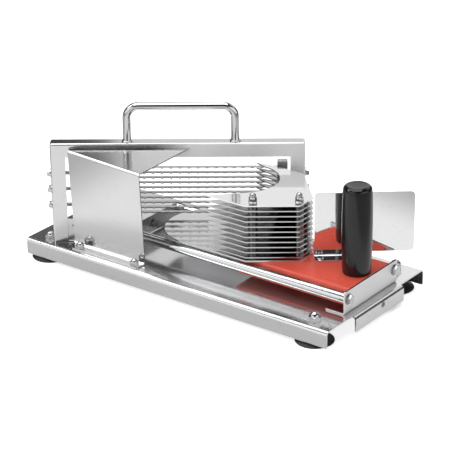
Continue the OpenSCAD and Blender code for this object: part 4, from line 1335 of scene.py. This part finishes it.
    def hand_guard(self) -> None:
        """Folds the hand guard with its foot and rounds its corners."""
        wide, high, foot = self.hand_wide, self.hand_high, self.hand_foot_long
        back = self.hand_sheet
        piece = Bench.plate("hand_guard_sheet", (0.0, wide), (0.0, high),
                            Matrix.Translation((0.0, back, 0.0)) @ UPRIGHT)
        Bench.slice(piece, (foot, 0.0, 0.0), (1.0, 0.0, 0.0))
        Bench.slice(piece, (0.0, 0.0, self.hand_lift), (0.0, 0.0, 1.0))
        Bench.pick(piece, Pick.FACE, lambda v: v.x > foot - NEAR and v.z < self.hand_lift + NEAR)
        bpy.ops.mesh.delete(type="FACE")
        Bench.pick(piece, Pick.EDGE, lambda v: v.z < NEAR)
        Bench.draw_out((0.0, -self.hand_foot - back, 0.0))
        Bench.pick(piece, Pick.EDGE, lambda v: v.z < NEAR and v.y > back - NEAR)
        Bench.round_off(self.hand_fold, 5)
        corners = [(0.0, high), (wide, high), (wide, self.hand_lift)]
        Bench.pick(piece, Pick.VERT,
                   lambda v: any(abs(v.x - x) < NEAR and abs(v.z - z) < NEAR for x, z in corners))
        Bench.round_off(self.hand_corner, 6, corners=True)
        Bench.pick(piece, Pick.VERT, lambda v: v.y < -self.hand_foot + NEAR)
        Bench.round_off(self.foot_corner, 4, corners=True)
        Bench.face_out(piece, (0.0, 1.0, 0.0))
        Bench.thicken(piece, self.hand_sheet)
        Bench.soften(piece, self.hand_edge)
        corner = Matrix.Translation((*self.hand, self.plan.slide_top))
        place = corner @ Matrix.Rotation(self.plan.frame_turn, 4, "Z")
        pivot = Matrix.Translation((foot / 2, 0.0, 0.0))
        place = place @ pivot @ Matrix.Rotation(math.radians(self.hand_turn), 4, "Z") @ pivot.inverted()
        Bench.move(piece, place)
        Bench.hand_over(piece, Body.TROLLEY, "bright_steel", MIRROR_STEEL, ["hand_guard"])
        rings = [(2.0, -7.0), (2.0, 0.0), (3.7, 0.0), (4.0, 0.3), (3.9, 0.9), (3.4, 1.6), (2.4, 1.95),
                 (0.9, 2.0)]
        screw = Bench.turned("hand_guard_pan_screws", rings, 40)
        for size in ((3.6, 0.7, 1.6), (0.7, 3.6, 1.6)):
            Bench.clear()
            bpy.ops.mesh.primitive_cube_add(size=1.0, location=(0.0, 0.0, 1.7))
            bpy.context.object.scale = size
            Bench.combine(screw, Bench.added("slot_tool"), "DIFFERENCE")
        margin, share = self.screw_spot
        spots = [place @ Matrix.Translation((x, -self.hand_foot * share, self.hand_sheet))
                 for x in (margin, foot - margin)]
        self.stud_parts.fit(screw, spots, Body.TROLLEY, FASTENER_STEEL, "hand_guard_screws")

    def grip(self) -> None:
        """Turns the barrel shaped grip with its rounded top and foot."""
        high, end, curve = self.grip_high, self.grip_end, self.grip_cap
        belly = self.grip_radius - end
        rings = [(4.1, 0.0), (end - 1.6, 0.0), (end - 0.6, 0.5), (end - 0.1, 1.4)]
        steps = 24
        for step in range(1, steps):
            z = 2.0 + (high - 7.0) * step / steps
            rings.append((end + belly * (1.0 - ((z - high / 2) / (high / 2)) ** 2), z))
        for step in range(9):
            angle = math.radians(90.0 * step / 8)
            rings.append((end - curve + curve * math.cos(angle), high - curve + curve * math.sin(angle)))
        rings += [(end - curve - 1.0, high - 0.05), (end - curve - 1.4, high - 0.3), (2.0, high - 0.3)]
        piece = Bench.turned("grip_barrel", rings, 96)
        Bench.move(piece, Matrix.Translation((self.grip_x, 0.0, self.plan.slide_top)))
        Bench.hand_over(piece, Body.TROLLEY, "black_plastic", BLACK_PLASTIC, ["grip"], angle=50.0)

    def build(self) -> None:
        """Builds the trolley."""
        self.block()
        self.carrier()
        self.plates()
        self.columns()
        self.hand_guard()
        self.grip()


@dataclass(frozen=True)
class Lamp:
    """A soft rectangular lamp that the camera doesn't see; glow is how bright its face looks in a mirror."""

    name: str
    place: Point
    target: Point
    size: Flat
    glow: float

    def hang(self) -> None:
        """Adds the lamp to the scene."""
        data = bpy.data.lights.new(self.name, "AREA")
        data.shape = "RECTANGLE"
        data.size, data.size_y = self.size
        data.energy = self.glow * math.pi * self.size[0] * self.size[1]
        lamp = bpy.data.objects.new(self.name, data)
        bpy.context.collection.objects.link(lamp)
        aim = (Vector(self.target) - Vector(self.place)).to_track_quat("-Z", "Y")
        lamp.matrix_world = Matrix.Translation(self.place) @ aim.to_matrix().to_4x4()
        lamp.visible_camera = False


@dataclass
class Studio:
    """Floor, light, world and camera; the spots lie round the slicer, under it and close before it: round it
    a painted pool of light and close before it a painted shadow, both seen only in the metal, and under it no
    glow.
    """

    lens: float = 165.4
    turn: float = 37.07
    pitch: float = 24.0
    roll: float = -0.77
    eye: Point = (1.3134, -1.7340, 1.0281)
    floor_glow: float = 0.75
    # strength of the painted glow in the pool round the slicer, seen only in the metal
    floor_painted_glow: float = 0.22
    room_glow: float = 0.10
    horizon: Flat = (0.49, 0.56)
    horizon_glow: float = 1.5
    hood: Flat = (17.0, 30.0)
    hood_way: Point = (0.525, -0.70, 0.485)
    hood_glow: float = 0.03
    front_way: Point = (0.6, -0.8, 0.0)
    front_edge: Flat = (-0.1, 0.3)
    sky_glow: float = 0.05
    # floor white, then the painted tones that only the metal sees: darker beyond the pool, and the painted
    # shadow close before the slicer
    floor_tones: Point = (0.80, 0.54, 0.46)
    # the ovals: painted pool of light round the slicer, no glow under it, painted shadow close before it
    spots: tuple[tuple[Flat, Flat, Flat], ...] = (
        ((0.05, -0.1), (0.29, 0.83), (1.35, 0.95)),
        ((0.05, 0.035), (0.16, 0.055), (1.1, 0.9)),
        ((-0.03, -0.10), (0.25, 0.08), (1.15, 0.90)))
    lamps: tuple[Lamp, ...] = (
        Lamp("overhead", (-0.1, -0.1, 1.6), (0.0, 0.0, 0.05), (2.0, 1.6), 2.25),
        Lamp("left_card", (-1.00, -0.75, 1.20), (0.0, 0.0, 0.05), (0.45, 0.60), 5.2),
        Lamp("back_card_top", (0.45, 1.0, 0.95), (0.2, 0.0, 0.05), (0.7, 0.6), 0.9),
        Lamp("back_card_left", (-0.712, 1.006, 0.62), (0.008, 0.046, 0.3), (0.47, 1.15), 0.74),
        Lamp("back_card_right", (-0.292, 1.321, 0.62), (0.428, 0.361, 0.3), (0.58, 1.15), 1.0))

    def camera(self) -> None:
        """Places the camera at the photograph's viewing angle."""
        data = bpy.data.cameras.new("view")
        data.lens = self.lens
        data.sensor_width = 36.0
        camera = bpy.data.objects.new("view", data)
        bpy.context.collection.objects.link(camera)
        camera.matrix_world = (Matrix.Translation(self.eye) @ Matrix.Rotation(math.radians(self.turn), 4, "Z")
                               @ Matrix.Rotation(math.radians(90.0 - self.pitch), 4, "X")
                               @ Matrix.Rotation(math.radians(self.roll), 4, "Z"))
        bpy.context.scene.camera = camera

    def floor(self) -> None:
        """Lays a pale floor that reads as white and keeps the shadow; in the metal it shows painted light and
        shade: a lit pool with a painted glow round the slicer, a darker painted tone beyond it and a painted
        shadow close before it.
        """
        Bench.clear()
        bpy.ops.mesh.primitive_plane_add(size=12.0, location=(0.0, 0.0, -0.0002))
        floor = bpy.context.object
        floor.name = "floor"
        material = bpy.data.materials.new("floor_white")
        material.use_nodes = True
        tree = material.node_tree
        tree.nodes.clear()
        path = Wiring.add(tree, "LightPath", {}).outputs
        # near is the painted pool of light and close the painted shadow, both for glossy rays; under is where
        # the glow is left off
        near, under, close = (self.spot(tree, *oval) for oval in self.spots)
        white, pale, shade = ((tone, tone, tone, 1.0) for tone in self.floor_tones)
        # for glossy rays the colour is painted: white in the pool, darker beyond it, darkest in the painted
        # shadow close before the slicer
        painted_tone = Wiring.mix(tree, close, Wiring.mix(tree, near, pale, white), shade)
        colour = Wiring.mix(tree, path["Is Glossy Ray"], white, painted_tone)
        diffuse = Wiring.add(tree, "BsdfDiffuse", {"Color": colour})
        # painted glow in the pool, for glossy rays only
        painted_glow = Wiring.reckon(tree, "MULTIPLY", path["Is Glossy Ray"], near)
        total = Wiring.reckon(tree, "MULTIPLY", painted_glow, self.floor_painted_glow)
        bare = Wiring.span(tree, under, (0.0, 1.0), (self.floor_glow, 0.0))
        for label in ("Is Camera Ray", "Is Transmission Ray"):
            total = Wiring.reckon(tree, "MULTIPLY_ADD", path[label], bare, total)
        glow = Wiring.add(tree, "Emission", {"Strength": total})
        both = Wiring.add(tree, "AddShader", {0: diffuse.outputs[0], 1: glow.outputs[0]})
        Wiring.add(tree, "OutputMaterial", {"Surface": both.outputs[0]})
        floor.data.materials.append(material)

    @staticmethod
    def spot(tree: Tree, centre: Flat, radii: Flat, fade_from: Flat) -> Socket:
        """Makes an oval spot on the floor.

        Args:
            tree: the floor material's tree.
            centre: middle of the oval, in metres.
            radii: its half widths along X and Y.
            fade_from: where it ends and where it is full, in radii.

        Returns:
            A socket that is 1 in the spot and 0 outside it.
        """
        coords = Wiring.add(tree, "TexCoord", {}).outputs["Object"]
        shape = Wiring.add(tree, "Mapping", {
            "Vector": coords, "Location": (-centre[0] / radii[0], -centre[1] / radii[1], 0.0),
            "Scale": (1.0 / radii[0], 1.0 / radii[1], 0.0)})
        length = Wiring.add(tree, "VectorMath", {0: shape.outputs["Vector"]}, operation="LENGTH")
        return Wiring.span(tree, length.outputs["Value"], fade_from, soft=True)

    def world(self) -> None:
        """Sets the world: white where the camera looks, a bright low band in front and dim elsewhere."""
        world = bpy.data.worlds.new("studio")
        bpy.context.scene.world = world
        world.use_nodes = True
        tree = world.node_tree
        tree.nodes.clear()
        way = Wiring.add(tree, "TexCoord", {}).outputs["Generated"]
        side, away = (Wiring.add(tree, "VectorMath", {0: way, 1: axis}, operation="DOT_PRODUCT")
                      for axis in (self.front_way, self.hood_way))
        front = Wiring.span(tree, side.outputs["Value"], self.front_edge, soft=True)
        glows = (self.horizon_glow, self.sky_glow)
        height = Wiring.span(tree, Wiring.part(tree, way, "Z"), self.horizon, glows, soft=True)
        edge, full = (math.cos(math.radians(angle)) for angle in reversed(self.hood))
        hood = Wiring.span(tree, away.outputs["Value"], (edge, full), (1.0, self.hood_glow), soft=True)
        open_front = Wiring.reckon(tree, "MULTIPLY", height, hood)
        level = Wiring.mix(tree, front, self.room_glow, open_front, "FLOAT")
        room = Wiring.add(tree, "Background", {"Strength": level})
        back = Wiring.add(tree, "Background", {"Strength": 1.0})
        path = Wiring.add(tree, "LightPath", {})
        mix = Wiring.add(tree, "MixShader", {
            "Fac": path.outputs["Is Camera Ray"], 1: room.outputs[0], 2: back.outputs[0]})
        Wiring.add(tree, "OutputWorld", {"Surface": mix.outputs[0]})

    def build(self) -> None:
        """Builds the studio."""
        bpy.context.scene.view_settings.view_transform = "Standard"
        self.camera()
        self.floor()
        self.world()
        for lamp in self.lamps:
            lamp.hang()


def dress_nodes() -> None:
    """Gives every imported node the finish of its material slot."""
    slots = {part["node"]: part["material_slot"] for part in frame["record"]["subparts"]}
    for node, slot in slots.items():
        piece = frame["nodes"][node]
        finish = NODE_FINISH.get(node, SLOT_FINISH[slot]).material()
        for place in piece.material_slots:
            place.material = finish
        LOG.info("%s keeps its shape in %s", node, finish.name)


def main() -> None:
    """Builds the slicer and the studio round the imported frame."""
    logging.basicConfig(level=logging.INFO, format="%(message)s")
    Bench.clear()
    dress_nodes()
    parts = Fasteners()
    for assembly in (Stand(PLAN, parts), Rack(PLAN, parts), Trolley(PLAN), Studio()):
        assembly.build()


if __name__ == "__main__":
    main()
